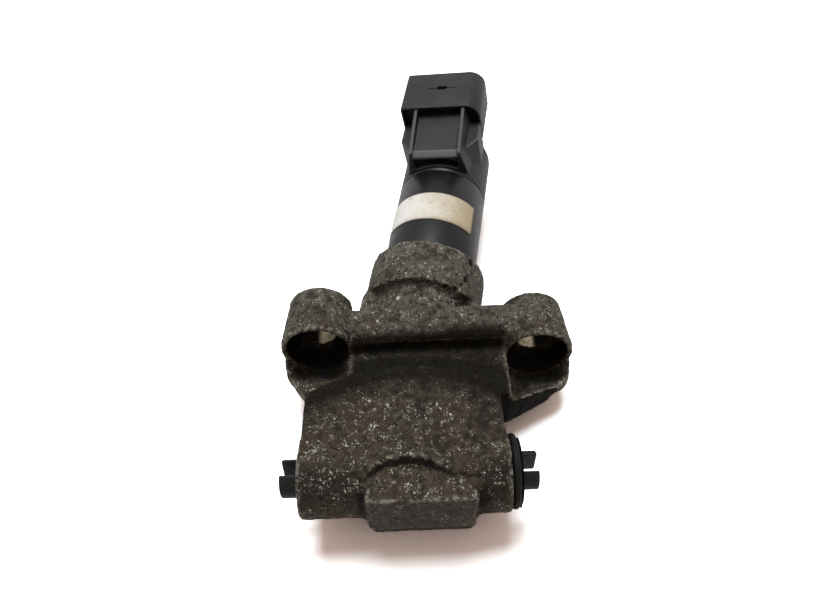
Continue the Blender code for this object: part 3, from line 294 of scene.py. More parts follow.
SALT_SPOTS = (((-0.0098, -0.0163, 0.0362), 0.0009), ((-0.0093, -0.0172, 0.0356), 0.0006))
SALT_RAGGED, SALT_SCALE = 0.5, 1100
DRY_BEHIND = (-0.062, 0.012)
SIDE_SHADE_UNDER, SIDE_SHADE_OVER = (0.0402, 0.0376), (0.03, 0.035)
SIDE_SHADE_LEFT, SIDE_SHADE_RIGHT = (-0.018, -0.027), (0.0115, 0.0145)
SIDE_SHADE_FRONT = (-0.078, -0.084)
FADED_FROM = (-0.0905, -0.0925)
CAST_LOW = (0.01, 0.0078, 0.0054), (0.0224, 0.0202, 0.0156)
CAST_MID = (0.053, 0.04, 0.027), (0.112, 0.1015, 0.08)
CAST_HIGH = (0.12, 0.101, 0.075), (0.239, 0.231, 0.194)
BROWN_FILM = (0.042, 0.027, 0.014)
FADED_FRONT = (0.095, 0.075, 0.066)
BLOOM = (0.15, 0.137, 0.108), (0.66, 0.65, 0.57)
SPECK_WARP = 0.0017
SPECK_LAYERS = ((560, 0.14, 0.36, 0.5), (1050, 0.4, 0.41, 0.46), (1900, 0.5, 0.46, 0.4))
PALE_OXIDE = (0.3, 0.285, 0.235)
HOLLOW_SHADE = (0.007, 0.006, 0.005)
PAINTED_SHADE_COLOUR = (0.0085, 0.0074, 0.0062)
SALT_CRUST = (0.62, 0.61, 0.56)
BARE_METAL = (0.95, 0.84, 0.6)
CAST_SHINE, SHADE_DULLS = 0.11, 0.085

joint = {entry["name"]: entry for entry in frame["joints"]}
motor_axis = Vector(joint["rotor_spin"]["axis"]).normalized()
motor_right = Vector((motor_axis.y, -motor_axis.x, 0)).normalized()
motor_up = motor_right.cross(motor_axis)
motor_place = Matrix.Translation(joint["rotor_spin"]["pos_m"])
motor_place = motor_place @ Matrix((motor_right, motor_axis, motor_up)).transposed().to_4x4()
bore_place = Matrix.Translation(joint["nut_spin"]["pos_m"])


def smooth(bm, verts, rounds):
    for _ in range(rounds):
        bmesh.ops.smooth_vert(bm, verts=verts, factor=0.5, use_axis_x=True, use_axis_y=True, use_axis_z=True)


def fuse(bm, voxel, rounds):
    """Replaces overlapping closed shells by one skin over them, with its edges rounded off."""
    mesh = bpy.data.meshes.new("shells")
    bm.to_mesh(mesh)
    shells = bpy.data.objects.new("shells", mesh)
    scene.collection.objects.link(shells)
    remesh = shells.modifiers.new("skin", "REMESH")
    remesh.mode = "VOXEL"
    remesh.voxel_size = voxel
    skin = bpy.data.meshes.new_from_object(shells.evaluated_get(bpy.context.evaluated_depsgraph_get()))
    bm.clear()
    bm.from_mesh(skin)
    bpy.data.objects.remove(shells)
    bpy.data.meshes.remove(mesh)
    bpy.data.meshes.remove(skin)
    smooth(bm, bm.verts, rounds)


def place_piece(name, bm, material, body, slot, *replaced):
    """Makes the finished mesh a piece that rides on its body and stands for its solids."""
    bm.normal_update()
    mesh = bpy.data.meshes.new(name)
    bm.to_mesh(mesh)
    bm.free()
    mesh.materials.append(material)
    mesh.shade_smooth()
    piece = bpy.data.objects.new(name, mesh)
    scene.collection.objects.link(piece)
    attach(piece, body)
    if replaced:
        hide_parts(*replaced)
    return piece


def smooth_step(low, high, value):
    share = min(1.0, max(0.0, (value - low) / (high - low)))
    return share * share * (3 - 2 * share)


def pad_back(x):
    """Where the flat pad on the worm block ends under the barrel: furthest back in its middle."""
    return float(np.interp(x, *zip(*PAD_ARCH)))


openings = {entry["name"]: entry["box_m"] for entry in frame["record"]["physics"]["openings"]}
ear_axes = []
for side in ("left", "right"):
    low, high = openings[side + "_counterbore"]
    ear_axes.append((Vector(low) + Vector(high)) / 2)


def ear_radius(place):
    """Distance from the nearer bolt hole's axis, where it is in the ear."""
    axis = min(ear_axes, key=lambda entry: abs(entry.x - place.x))
    return math.hypot(place.x - axis.x, place.z - axis.z)


def edge_wear(mesh):
    """A number per vertex: above half on edges that stand out, below half in hollows."""
    count = len(mesh.vertices)
    places = np.empty(count * 3)
    normals = np.empty(count * 3)
    ends = np.empty(len(mesh.edges) * 2, np.int64)
    mesh.vertices.foreach_get("co", places)
    mesh.vertex_normals.foreach_get("vector", normals)
    mesh.edges.foreach_get("vertices", ends)
    places = places.reshape(-1, 3)
    normals = normals.reshape(-1, 3)
    first, second = ends.reshape(-1, 2).T
    along = places[second] - places[first]
    along /= np.maximum(np.linalg.norm(along, axis=1), 1e-9)[:, None]
    bend = np.bincount(first, -(along * normals[first]).sum(1), count)
    bend += np.bincount(second, (along * normals[second]).sum(1), count)
    degree = np.maximum(np.bincount(first, minlength=count) + np.bincount(second, minlength=count), 1)
    bend /= degree
    for _ in range(CONVEXITY_SPREAD):
        around = np.bincount(first, bend[second], count) + np.bincount(second, bend[first], count)
        bend = (bend + around / degree) / 2
    return np.clip(0.5 + CONVEXITY_GAIN * bend, 0, 1)


bm = bmesh.new()
bm.from_mesh(frame["nodes"]["housing"].data)
bmesh.ops.remove_doubles(bm, verts=bm.verts, dist=1e-6)
for ledge in LEFT_LEDGES + RIGHT_LEDGES:
    corners = []
    for x, y, z in ledge:
        corners += [bm.verts.new((x, y, z)), bm.verts.new((x, y, z - LEDGE_DEPTH))]
    bmesh.ops.convex_hull(bm, input=corners)
fuse(bm, SKIN_VOXEL, FIRST_ROUNDS)
ear_front = min(axis.y for axis in ear_axes) - EAR_DEPTH
as_cast = []
for vert in bm.verts:
    if vert.co.y < ear_front or ear_radius(vert.co) > COUNTERBORE_RADIUS + COUNTERBORE_RIM:
        as_cast.append(vert)
smooth(bm, as_cast, SKIN_ROUNDS)
smooth(bm, [vert for vert in as_cast if vert.co.y > PAD_FRONT], SKIN_ROUNDS_BEHIND)
bm.normal_update()
rough_cast = bpy.data.meshes.new("rough_cast")
bm.to_mesh(rough_cast)
cast = set(as_cast)
hollows = set()
for vert, bend in zip(bm.verts, edge_wear(rough_cast)):
    if bend < HOLLOW_BEND and vert in cast:
        hollows.add(vert)
for _ in range(HOLLOW_GROWTH):
    hollows |= {edge.other_vert(vert) for vert in hollows for edge in vert.link_edges}
smooth(bm, list(hollows & cast), HOLLOW_ROUNDS)
bpy.data.meshes.remove(rough_cast)
bm.verts.index_update()
pad_rim = []
pad_step_shade = {}
for vert in bm.verts:
    place = vert.co
    back = pad_back(place.x)
    if PAD_LEFT < place.x < PAD_RIGHT and place.y < back and place.z > PAD_TOP:
        place.z = PAD_TOP
    across = PAD_LEFT - PAD_MARGIN < place.x < PAD_RIGHT + PAD_MARGIN
    if across and abs(place.y - back) < PAD_RIM and place.z > PAD_TOP - PAD_MARGIN:
        pad_rim.append(vert)
        # Painted shade along the step at the back of the pad, widest and darkest in its middle.
        aside = min(1.0, abs(place.x - PAD_MIDDLE) / PAD_EDGE_REACH)
        below = back - place.y + PAD_STEP_RAGGED * noise.noise(place * 500)
        if -PAD_STEP_RAGGED < below < PAD_STEP - PAD_STEP_TAPER * aside:
            pad_step_shade[vert.index] = PAD_STEP_SHADE - 0.1 * aside ** 2 + 0.1 * noise.noise(place * 400)
smooth(bm, pad_rim, 1)
bm.normal_update()
to_motor = motor_place.inverted()
to_bore = bore_place.inverted()
skin_tree = BVHTree.FromBMesh(bm)
sky_points = []
for index in range(SKY_RAYS):
    rise = 1 - SKY_DIP * (index + 0.5) / SKY_RAYS
    turn = index * math.pi * (3 - math.sqrt(5))
    level = math.sqrt(1 - rise * rise)
    sky_points.append(Vector((level * math.cos(turn), level * math.sin(turn), rise)))


def groove_shade(place, normal):
    """How much painted shade lies in the groove behind the barrel, and on the edges of web and barrel that
    lead into it.
    """
    arch_x, arch_y, arch_radius = GROOVE_ARCH
    past_arch = math.hypot(place.x - arch_x, place.y - arch_y) - arch_radius
    mottle = noise.noise(place * MOTTLE_SCALE)
    aside = smooth_step(*GROOVE_ASIDE, abs(place.x - GROOVE_MIDDLE))
    between = smooth_step(GROOVE_HALF, GROOVE_HALF - GROOVE_END_FADE, abs(place.x))
    between *= smooth_step(GROOVE_BACK, GROOVE_BACK - GROOVE_RIM, place.y)
    inside = smooth_step(GROOVE_TOP, GROOVE_TOP - GROOVE_TOP_FADE, place.z)
    inside *= smooth_step(*GROOVE_START, past_arch)
    under_brow = (0.55 + 0.45 * aside) * smooth_step(*UNDER_BROW, past_arch + 0.0006 * mottle)
    corner = max(0.3 * smooth_step(0.2, 0.8, -normal.y), under_brow)
    groove_shading = between * inside * (GROOVE_SHADE + 0.16 * corner + 0.08 * mottle)
    on_web = smooth_step(*WEB_FRONT, place.y) * smooth_step(*WEB_LEVEL, place.z)
    on_web *= smooth_step(GROOVE_HALF + WEB_OVERRUN, GROOVE_HALF - GROOVE_END_FADE, abs(place.x))
    web_edge = (0.1 + 0.12 * smooth_step(*WEB_RIGHTWARD, place.x)) * smooth_step(*WEB_ROUND, place.y)
    web_edge = on_web * (SHADE_FROM + web_edge + 0.16 * smooth_step(*WEB_LIP, place.y))
    on_head = smooth_step(GROOVE_TOP - GROOVE_RIM, GROOVE_TOP + GROOVE_RIM, place.z)
    on_head *= smooth_step(*HEAD_BACK, place.y)
    brow = 0.21 * smooth_step(*BROW_FADE, past_arch)
    brow += (0.1 + 0.06 * aside) * smooth_step(*BROW_EDGE, past_arch)
    brow = on_head * (SHADE_FROM + brow + 0.06 * mottle)
    return max(groove_shading, web_edge, brow)


bare = []
salt = []
sheltered = []
shifts = []
for vert in bm.verts:
    on_motor = to_motor @ vert.co
    on_bore = to_bore @ vert.co
    motor_radius = math.hypot(on_motor.x, on_motor.z)
    bore_radius = math.hypot(on_bore.y, on_bore.z)
    normal = vert.normal
    turned = to_motor.to_3x3() @ normal
    faces_motor = turned.x * on_motor.x + turned.z * on_motor.z < -0.5 * motor_radius
    faces_bore = normal.y * on_bore.y + normal.z * on_bore.z < -0.5 * bore_radius
    machined = 0.0
    if motor_radius < CAN_RADIUS + CAN_BORE_MARGIN and faces_motor:
        machined = BORE_POLISH
    if bore_radius < BORE_RADIUS + BORE_MARGIN and faces_bore:
        machined = BORE_POLISH
    if vert.co.y > ear_front:
        radius = ear_radius(vert.co)
        if radius < BOLT_HOLE_RADIUS + BOLT_HOLE_MARGIN:
            # Only the inner side of each bolt hole is bare; the outer side is left dark as painted shade,
            # and the left hole is dimmed as painted shade.
            axis = min(ear_axes, key=lambda entry: abs(entry.x - vert.co.x))
            inward = (axis.x - vert.co.x) * math.copysign(1, axis.x)
            machined = smooth_step(*BOLT_HOLE_SHADE_EDGE, inward) * (1.0 if axis.x > 0 else LEFT_HOLE_DIMMED)
            machined = max(machined, DIRTY_BORE)
        elif radius < COUNTERBORE_RADIUS + COUNTERBORE_MARGIN:
            machined = DIRTY_BORE
    bare.append(machined if machined > LEAST_POLISH else 0.0)
    shift = 0.0
    if motor_radius < WORM_BORE and faces_motor:
        shift -= BORE_EASE
    if machined == 0.0:
        shift += WAVE_HEIGHT * noise.fractal(vert.co * WAVE_SCALE, 0.7, 2.0, 3)
        shift += GRAIN_HEIGHT * noise.noise(vert.co * GRAIN_SCALE)
        pit = noise.noise(vert.co * PIT_SCALE + PIT_OFFSET)
        shift -= PIT_DEPTH * smooth_step(0.4, 0.62, pit)
    # Painted shade: each point is darkened by how little of the sky it sees, and more in the groove, along
    # the pad's step, beside the pad, on the brace and in the dents.
    shelter = 0.0
    # Dents are pressed into the skin and darkened inside with painted shade.
    for place, radius, depth in DENTS:
        away = (vert.co - Vector(place)).length / radius
        if away < DENT_REACH:
            away += DENT_RAGGED * noise.noise(vert.co * DENT_SCALE)
            shift -= depth * smooth_step(1.0, 0.3, away)
            shelter = max(shelter, DENT_SHADE * smooth_step(1.0, 0.5, away))
    crusted = 0.0
    for place, radius in SALT_SPOTS:
        away = (vert.co - Vector(place)).length / radius + SALT_RAGGED * noise.noise(vert.co * SALT_SCALE)
        crusted = max(crusted, smooth_step(1.0, 0.5, away))
    salt.append(crusted)
    shifts.append(shift)
    start = vert.co + normal * RAY_LIFT
    seen = total = 0.0
    for point in sky_points:
        share = normal.dot(point)
        if share > RAY_GRAZE:
            total += share
            if skin_tree.ray_cast(start, point, SKY_REACH)[0] is None:
                seen += share
    shelter = max(shelter, groove_shade(vert.co, normal), 1 - seen / total if total else 1.0)
    shelter = max(shelter, pad_step_shade.get(vert.index, 0.0))
    # Painted shade on the head in the nooks beside the worm block's pad.
    beside = max(PAD_LEFT - vert.co.x, vert.co.x - PAD_RIGHT)
    if beside > 0 and vert.co.y < PAD_FRONT + NOOK_FADE and vert.co.z < PAD_TOP:
        nook = smooth_step(NOOK_REACH[vert.co.x > 0], NOOK_NEAR, beside)
        nook *= smooth_step(PAD_FRONT + NOOK_FADE, PAD_FRONT, vert.co.y)
        shelter = max(shelter, NOOK_SHADE * nook * smooth_step(PAD_TOP, PAD_TOP - NOOK_FADE, vert.co.z))
    # Painted shade on the front-facing wall of the right gusset.
    if vert.co.y < BRACE_BACK and vert.co.x > BRACE_LEFT and vert.co.z < BRACE_TOP:
        shelter = max(shelter, BRACE_SHADE * smooth_step(0.0, 0.5, -normal.y))
    sheltered.append(shelter)
for vert, shift in zip(bm.verts, shifts):
    vert.co += vert.normal * shift


def add_attributes(mesh, **lists):
    """Stores lists of one number per vertex under their names, for the material."""
    for name, values in lists.items():
        attribute = mesh.attributes.new(name, "FLOAT", "POINT")
        attribute.data.foreach_set("value", np.asarray(values, np.float32))


def cloud(coords, scale, detail=3.0, rough=0.55):
    """Smooth noise about 1 / scale metres across."""
    inputs = {"Vector": coords, "Scale": scale, "Detail": detail, "Roughness": rough}
    return add_node(coords.id_data, "ShaderNodeTexNoise", inputs).outputs["Fac"]


def band(value, low, high):
    """Rises from zero at low to one at high."""
    inputs = {"Value": value, "From Min": low, "From Max": high}
    made = add_node(value.id_data, "ShaderNodeMapRange", inputs, interpolation_type="SMOOTHSTEP")
    return made.outputs["Result"]


def blend(factor, under, over):
    """Colour under, with colour over laid on it by the factor."""
    made = add_node(factor.id_data, "ShaderNodeMix", {"Factor": factor}, data_type="RGBA")
    for socket, colour in (("A_Color", under), ("B_Color", over)):
        target = next(entry for entry in made.inputs if entry.identifier == socket)
        if isinstance(colour, bpy.types.NodeSocket):
            made.id_data.links.new(colour, target)
        else:
            target.default_value = (*colour, 1)
    return next(entry for entry in made.outputs if entry.identifier == "Result_Color")


def new_look(name):
    """A node material, its shader and the coordinates that its patterns use."""
    look = bpy.data.materials.new(name)
    look.use_nodes = True
    coords = look.node_tree.nodes.new("ShaderNodeTexCoord").outputs["Object"]
    return look, look.node_tree.nodes["Principled BSDF"], coords


def stored(shader, name):
    return add_node(shader.id_data, "ShaderNodeAttribute", {}, attribute_name=name).outputs["Fac"]


def specks(coords, scale, amount, size):
    """Round grains about 1 / scale metres apart: their mask and a random number for each."""
    grains = add_node(coords.id_data, "ShaderNodeTexVoronoi", {"Vector": coords, "Scale": scale})
    lot = add_node(coords.id_data, "ShaderNodeSeparateColor", {"Color": grains.outputs["Color"]})
    shape = band(grains.outputs["Distance"], size, size * 0.45)
    kept = band(lot.outputs["Red"], 1 - amount, 1.06 - amount)
    return times(shape, kept), lot.outputs["Green"]


def scaled(value, spread, least):
    """Runs from least by the spread as the value runs from zero to one."""
    made = maths("MULTIPLY_ADD", value, spread)
    made.node.inputs[2].default_value = least
    return made


def raised(height, strength, distance):
    """Normals of a surface that the pattern raises."""
    inputs = {"Height": height, "Strength": strength, "Distance": distance}
    return add_node(height.id_data, "ShaderNodeBump", inputs).outputs["Normal"]


casting_look, shader, coords = new_look("corroded_casting")
tree = coords.id_data
wear = stored(shader, "wear")
grain = cloud(coords, 520, 6, 0.68)
patina = cloud(coords, 75, 4, 0.6)
place = add_node(tree, "ShaderNodeSeparateXYZ", {"Vector": coords})
across, along, up = (place.outputs[axis] for axis in "XYZ")
dry = band(along, *DRY_BEHIND)
low_tone = blend(dry, *CAST_LOW)
mid_tone = blend(dry, *CAST_MID)
high_tone = blend(dry, *CAST_HIGH)
colour = blend(band(grain, 0.36, 0.53), low_tone, mid_tone)
colour = blend(band(grain, 0.55, 0.74), colour, high_tone)
colour = blend(times(band(patina, 0.46, 0.66), 0.55), colour, BROWN_FILM)
blotch = band(cloud(coords, 170, 5, 0.6), 0.47, 0.34)
colour = blend(times(blotch, 0.72), colour, low_tone)
# Painted shade on the front of the head beside the worm block, below its top.
below = times(band(up, *SIDE_SHADE_UNDER), band(up, *SIDE_SHADE_OVER))
either_end = maths("ADD", band(across, *SIDE_SHADE_LEFT), band(across, *SIDE_SHADE_RIGHT))
side_shade = times(times(below, either_end), band(along, *SIDE_SHADE_FRONT))
colour = blend(times(side_shade, 0.62), colour, low_tone)
colour = blend(times(band(along, *FADED_FROM), 0.38), colour, FADED_FRONT)
warp = add_node(tree, "ShaderNodeTexNoise", {"Vector": coords, "Scale": 900.0, "Detail": 3.0})
push = {0: warp.outputs["Color"], 1: (SPECK_WARP, SPECK_WARP, SPECK_WARP), 2: coords}
ragged = add_node(tree, "ShaderNodeVectorMath", push, operation="MULTIPLY_ADD").outputs["Vector"]
clumps = band(cloud(coords, 340, 3, 0.6), 0.44, 0.6)
leftward = times(band(across, 0.03, -0.03), 0.1)
gathered = maths("ADD", cloud(coords, 80, 4, 0.62), leftward)
for spacing, amount, size, least in SPECK_LAYERS:
    mask, lot = specks(ragged, spacing, amount, size)
    thick = times(times(mask, clumps), band(gathered, least, least + 0.11))
    colour = blend(thick, colour, blend(lot, *BLOOM))
oxide = band(cloud(coords, 700, 8, 0.78), 0.6, 0.69)
oxide = times(oxide, band(gathered, 0.46, 0.66))
colour = blend(times(oxide, 0.65), colour, PALE_OXIDE)
worn = times(band(wear, 0.555, 0.68), band(grain, 0.4, 0.62))
colour = blend(times(worn, 0.8), colour, PALE_OXIDE)
# Painted shade in hollows, where the convexity is low.
colour = blend(times(band(wear, 0.46, 0.34), 0.75), colour, HOLLOW_SHADE)
# Painted shade: the stored shade pulls the colour towards near black.
shade_mask = times(band(stored(shader, "sheltered"), SHADE_FROM, SHADE_FULL), 0.94)
colour = blend(shade_mask, colour, PAINTED_SHADE_COLOUR)
colour = blend(stored(shader, "salt"), colour, SALT_CRUST)
colour = blend(stored(shader, "bare"), colour, BARE_METAL)
polish = times(stored(shader, "bare"), 0.9)
# The shine is lowered where shade is painted.
set_inputs(shader, {
    "Base Color": colour, "Metallic": polish, "Specular IOR Level": scaled(shade_mask, -SHADE_DULLS, CAST_SHINE),
    "Roughness": scaled(maths("SUBTRACT", grain, polish), 0.3, 0.46),
    "Normal": raised(maths("ADD", cloud(coords, 1500, 4), grain), 0.8, 0.0007),
})

casting = place_piece("casting", bm, casting_look, "frame", "casting", "housing")
wear = edge_wear(casting.data)
add_attributes(casting.data, bare=bare, salt=salt, sheltered=sheltered, wear=wear)

# Tappets: two turned steel plungers with a fork milled across the end for the web of the brake shoe.
# They are blackened, slide in the barrel's guide bushes and screw into the spindle nut.
TAPPET_RADIUS = 0.0057
LEFT_SHOULDER, RIGHT_SHOULDER = 0.0145, 0.024
LEFT_FORK_TURN, RIGHT_FORK_TURN = math.radians(-13), 0.0
FORK_HALF_SLOT = 0.00265
FORK_DEPTH = 0.0062
FORK_ROUND = 0.0005
ROOT_ROUND = 0.0001
STEM_RADIUS = 0.0039
TAPPET_VOXEL = 0.00022
TAPPET_ROUNDS = 3
TAPPET_SIDES = 64
STEEL_BLACK, STEEL_SMEAR = (0.0065, 0.0058, 0.005), (0.013, 0.011, 0.009)
STEEL_WORN = (0.09, 0.085, 0.08)

tappet_look, shader, coords = new_look("blackened_steel")
smear = cloud(coords, 260, 3)
colour = blend(band(smear, 0.35, 0.7), STEEL_BLACK, STEEL_SMEAR)
rubbed_and_highlit = times(band(stored(shader, "wear"), 0.58, 0.8), 0.5)
colour = blend(rubbed_and_highlit, colour, STEEL_WORN)
set_inputs(shader, {
    "Base Color": colour, "Roughness": scaled(smear, 0.25, 0.34), "Specular IOR Level": 0.15,
    "Normal": raised(cloud(coords, 1500, 3), 0.15, 0.0002),
})


def spun(bm, profile, steps, matrix, along="Y"):
    """Spins a profile of (radius, station) about the local Y or X axis into one closed shell."""
    axis = (0, 1, 0) if along == "Y" else (1, 0, 0)
    before = set(bm.verts)
    verts = []
    for radius, station in profile:
        verts.append(bm.verts.new((radius, station, 0) if along == "Y" else (station, radius, 0)))
    edges = [bm.edges.new(pair) for pair in zip(verts, verts[1:])]
    if profile[0][0] > 0:
        edges.append(bm.edges.new((verts[-1], verts[0])))
    bmesh.ops.spin(bm, geom=verts + edges, cent=(0, 0, 0), axis=axis, angle=2 * math.pi, steps=steps,
                   use_merge=True)
    bmesh.ops.remove_doubles(bm, verts=[vert for vert in bm.verts if vert not in before], dist=1e-7)
    made = [vert for vert in bm.verts if vert not in before]
    faces = {face for vert in made for face in vert.link_faces}
    bmesh.ops.recalc_face_normals(bm, faces=list(faces))
    bmesh.ops.transform(bm, matrix=matrix, verts=made)


def rounded(radius, low, high, edge, steps=4):
    """Points of a rod's outer profile from low to high, with both its edges rounded."""
    points = []
    for centre, start in ((low + edge, -90), (high - edge, 0)):
        for step in range(steps + 1):
            angle = math.radians(start + 90 * step / steps)
            points.append((radius - edge + edge * math.cos(angle), centre + edge * math.sin(angle)))
    return points


def outline(*runs):
    """Profile points from runs of a radius, a station and the offsets from both."""
    return [(radius + out, station + on) for radius, station, offsets in runs for out, on in offsets]


axis_x = bore_place.translation.x
for name, side, turn, shoulder in (
    ("left_tappet", -1, LEFT_FORK_TURN, LEFT_SHOULDER),
    ("right_tappet", 1, RIGHT_FORK_TURN, RIGHT_SHOULDER),
):
    low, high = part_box(name)
    start, reach = sorted((abs(low.x - axis_x), abs(high.x - axis_x)))
    facing = bore_place @ Matrix.Rotation(turn, 4, "X")
    if side < 0:
        facing = facing @ Matrix.Rotation(math.pi, 4, "Z")
    root = reach - FORK_DEPTH
    tine_start = root - FORK_ROUND
    stem = [(0, start)] + rounded(STEM_RADIUS, start, shoulder + FORK_ROUND, FORK_ROUND) + [(0, shoulder)]
    plunger = [(0, shoulder)] + rounded(TAPPET_RADIUS, shoulder, root, ROOT_ROUND) + [(0, root)]
    fork = [(0, tine_start)] + rounded(TAPPET_RADIUS, tine_start, reach, FORK_ROUND) + [(0, reach)]
    bm = bmesh.new()
    spun(bm, stem, TAPPET_SIDES, facing, "X")
    spun(bm, plunger, TAPPET_SIDES, facing, "X")
    for half in (-1, 1):
        tine = bmesh.new()
        spun(tine, fork, TAPPET_SIDES, Matrix(), "X")
        whole = tine.verts[:] + tine.edges[:] + tine.faces[:]
        cut = bmesh.ops.bisect_plane(tine, geom=whole, plane_co=(0, half * FORK_HALF_SLOT, 0),
                                     plane_no=(0, -half, 0), clear_outer=True)
        rim = [item for item in cut["geom_cut"] if isinstance(item, bmesh.types.BMEdge)]
        bmesh.ops.contextual_create(tine, geom=rim)
        bmesh.ops.transform(tine, matrix=facing, verts=tine.verts)
        spare = bpy.data.meshes.new("tine")
        tine.to_mesh(spare)
        tine.free()
        bm.from_mesh(spare)
        bpy.data.meshes.remove(spare)
    fuse(bm, TAPPET_VOXEL, TAPPET_ROUNDS)
    piece = place_piece(name + "_plunger", bm, tappet_look, name, "tappet_steel", name)
    add_attributes(piece.data, wear=edge_wear(piece.data))

# Seals: a moulded rubber boot over the right end of the barrel and a wiper ring inside the left end.
# The boot has a dished face that wipes the tappet, and its outer lip has torn loose low on one side.
BOOT_SIDES = 96
BOOT_EDGE = 0.0006
BOOT_WEAR = 0.0008
BOOT_RING = ((-BOOT_EDGE, 0), (0, BOOT_EDGE), (0, 0.0014), (-BOOT_EDGE, 0.002))
BOOT_LIP_INSET = 0.0014
BOOT_LIP_FOOT = ((-0.0012, 0.0021), (0, 0.0029))
BOOT_LIP_END = ((0, -0.0001), (-0.0003, 0))
BOOT_LIP_INSIDE = ((-0.0012, 0.0029),)
BOOT_DISH = ((0.001, 0.0022),)
WIPE_GAP = 0.0001
WIPE_EDGE = ((0, -0.0004),)
AS_IS = ((0, 0),)
FLAP_LENGTH = 0.0072
FLAP_WIDTH = 0.0011
FLAP_THICKNESS = 0.0007
FLAP_INSET = 0.0005
FLAP_TURN = math.radians(30)
FLAP_LEAN_IN, FLAP_LEAN_FORWARD = 0.05, 0.35
FLAP_SHAPE = (
    (-FLAP_WIDTH, 0), (FLAP_WIDTH, 0), (FLAP_WIDTH * 0.5, FLAP_LENGTH * 0.6), (0, FLAP_LENGTH),
)
WIPER_FOLD = ((0, 0), (0.0008, -0.0002), (0.0016, 0.0005))
WIPER_RIM = ((-0.001, 0.0005), (-0.0004, 0), (0, 0.0004))
RUBBER_BLACK, RUBBER_DUST = (0.0045, 0.0042, 0.0038), (0.02, 0.017, 0.0135)

rubber_look, shader, coords = new_look("old_rubber")
dust = cloud(coords, 420, 4, 0.65)
colour = blend(band(dust, 0.52, 0.8), RUBBER_BLACK, RUBBER_DUST)
set_inputs(shader, {
    "Base Color": colour, "Roughness": scaled(dust, 0.3, 0.5), "Specular IOR Level": 0.14,
    "Normal": raised(cloud(coords, 900, 4), 0.3, 0.0003),
})

low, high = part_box("right_boot")
boot_radius = (high.y - low.y) / 2
back, front = low.x - axis_x, high.x - axis_x - BOOT_WEAR
lip = boot_radius - BOOT_LIP_INSET
wipe = TAPPET_RADIUS + WIPE_GAP
bm = bmesh.new()
profile = outline(
    (wipe, back, AS_IS), (boot_radius, back, BOOT_RING), (lip, back, BOOT_LIP_FOOT),
    (lip, front, BOOT_LIP_END), (lip, back, BOOT_LIP_INSIDE), (wipe, back, BOOT_DISH),
    (wipe, front, WIPE_EDGE),
)
spun(bm, profile, BOOT_SIDES, bore_place, "X")
flap = []
for station in (front - FLAP_THICKNESS, front):
    for across, down in FLAP_SHAPE:
        angle = FLAP_TURN + across / lip
        y = -(lip - FLAP_INSET) * math.cos(angle) - down * FLAP_LEAN_FORWARD
        z = (lip - FLAP_INSET) * math.sin(angle) - down
        flap.append(bm.verts.new(bore_place @ Vector((station - down * FLAP_LEAN_IN, y, z))))
flap_faces = [bm.faces.new(flap[:4]), bm.faces.new(flap[4:])]
for index in range(4):
    after = (index + 1) % 4
    flap_faces.append(bm.faces.new((flap[index], flap[after], flap[after + 4], flap[index + 4])))
bmesh.ops.recalc_face_normals(bm, faces=flap_faces)
place_piece("right_dust_boot", bm, rubber_look, "frame", "rubber", "right_boot")

low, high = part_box("left_boot")
wiper_radius = (high.y - low.y) / 2
face, seat = low.x - axis_x, high.x - axis_x
bm = bmesh.new()
profile = outline(
    (wipe, face, WIPER_FOLD), (wiper_radius, face, WIPER_RIM), (wiper_radius, seat, AS_IS),
    (wipe, seat, AS_IS),
)
spun(bm, profile, BOOT_SIDES, bore_place, "X")
place_piece("left_wiper", bm, rubber_look, "frame", "rubber", "left_boot")

# Motor can: a deep-drawn steel cup, painted black and pushed into the collar over an o-ring.
# A groove is rolled round it just short of its open end, which the end cap closes.
CAN_SIDES = 128
CAN_START, CAN_END = 0.0715, 0.1287
CAN_FRONT_HOLE = 0.0068
CAN_FLOOR = 0.0018
CAN_CORNER = ((-0.0012, 0), (-0.0004, 0.0004), (0, 0.0012))
CAN_BEAD = 0.0021
CAN_GROOVE = ((0, -0.0006), (-0.00022, -0.0002), (-0.00022, 0.0001), (0.00005, 0.0005))
CAN_RIM = ((0.00005, -0.0003), (-0.0003, 0), (-0.0014, 0))
CAN_INSIDE = ((-0.0014, 0.0024), (-0.002, 0.0018))
PAINT_BLACK, PAINT_FILM = (0.0044, 0.0042, 0.0043), (0.0085, 0.0081, 0.008)
PAINT_SCUFF = (0.06, 0.058, 0.055)

can_look, shader, coords = new_look("can_black_paint")
film = cloud(coords, 130, 5, 0.6)
colour = blend(band(film, 0.4, 0.75), PAINT_BLACK, PAINT_FILM)
scuff, lot = specks(coords, 650, 0.05, 0.3)
colour = blend(times(scuff, 0.5), colour, PAINT_SCUFF)
set_inputs(shader, {
    "Base Color": colour, "Roughness": scaled(film, 0.22, 0.28), "Specular IOR Level": 0.24,
    "Normal": raised(cloud(coords, 700, 2), 0.12, 0.0003),
})

bm = bmesh.new()
profile = outline(
    (CAN_FRONT_HOLE, CAN_START, AS_IS), (CAN_RADIUS, CAN_START, CAN_CORNER),
    (CAN_RADIUS, CAN_END - CAN_BEAD, CAN_GROOVE), (CAN_RADIUS, CAN_END, CAN_RIM),
    (CAN_RADIUS, CAN_START, CAN_INSIDE), (CAN_FRONT_HOLE, CAN_START + CAN_FLOOR, AS_IS),
)
spun(bm, profile, CAN_SIDES, motor_place)
place_piece("can", bm, can_look, "frame", "can_paint", "motor_can")

# Label: a blank paper sticker wrapped a little under half way round the can.
# Its right end is stained brown, and dirt has settled along both its long edges.
LABEL_FROM, LABEL_TO = math.radians(35), math.radians(200)
LABEL_LOW, LABEL_HIGH = 0.1, 0.1137
LABEL_SKIN = CAN_RADIUS + 0.00008
LABEL_THICKNESS = 0.00014
LABEL_STEPS = 72
LABEL_CUTS = 6
LONG_EDGE = 0.005
PAPER, PAPER_STAINED = (0.86, 0.845, 0.8), (0.47, 0.385, 0.255)
PAPER_SPOTS = (0.3, 0.235, 0.145)
PAPER_EDGES = (0.27, 0.225, 0.165)

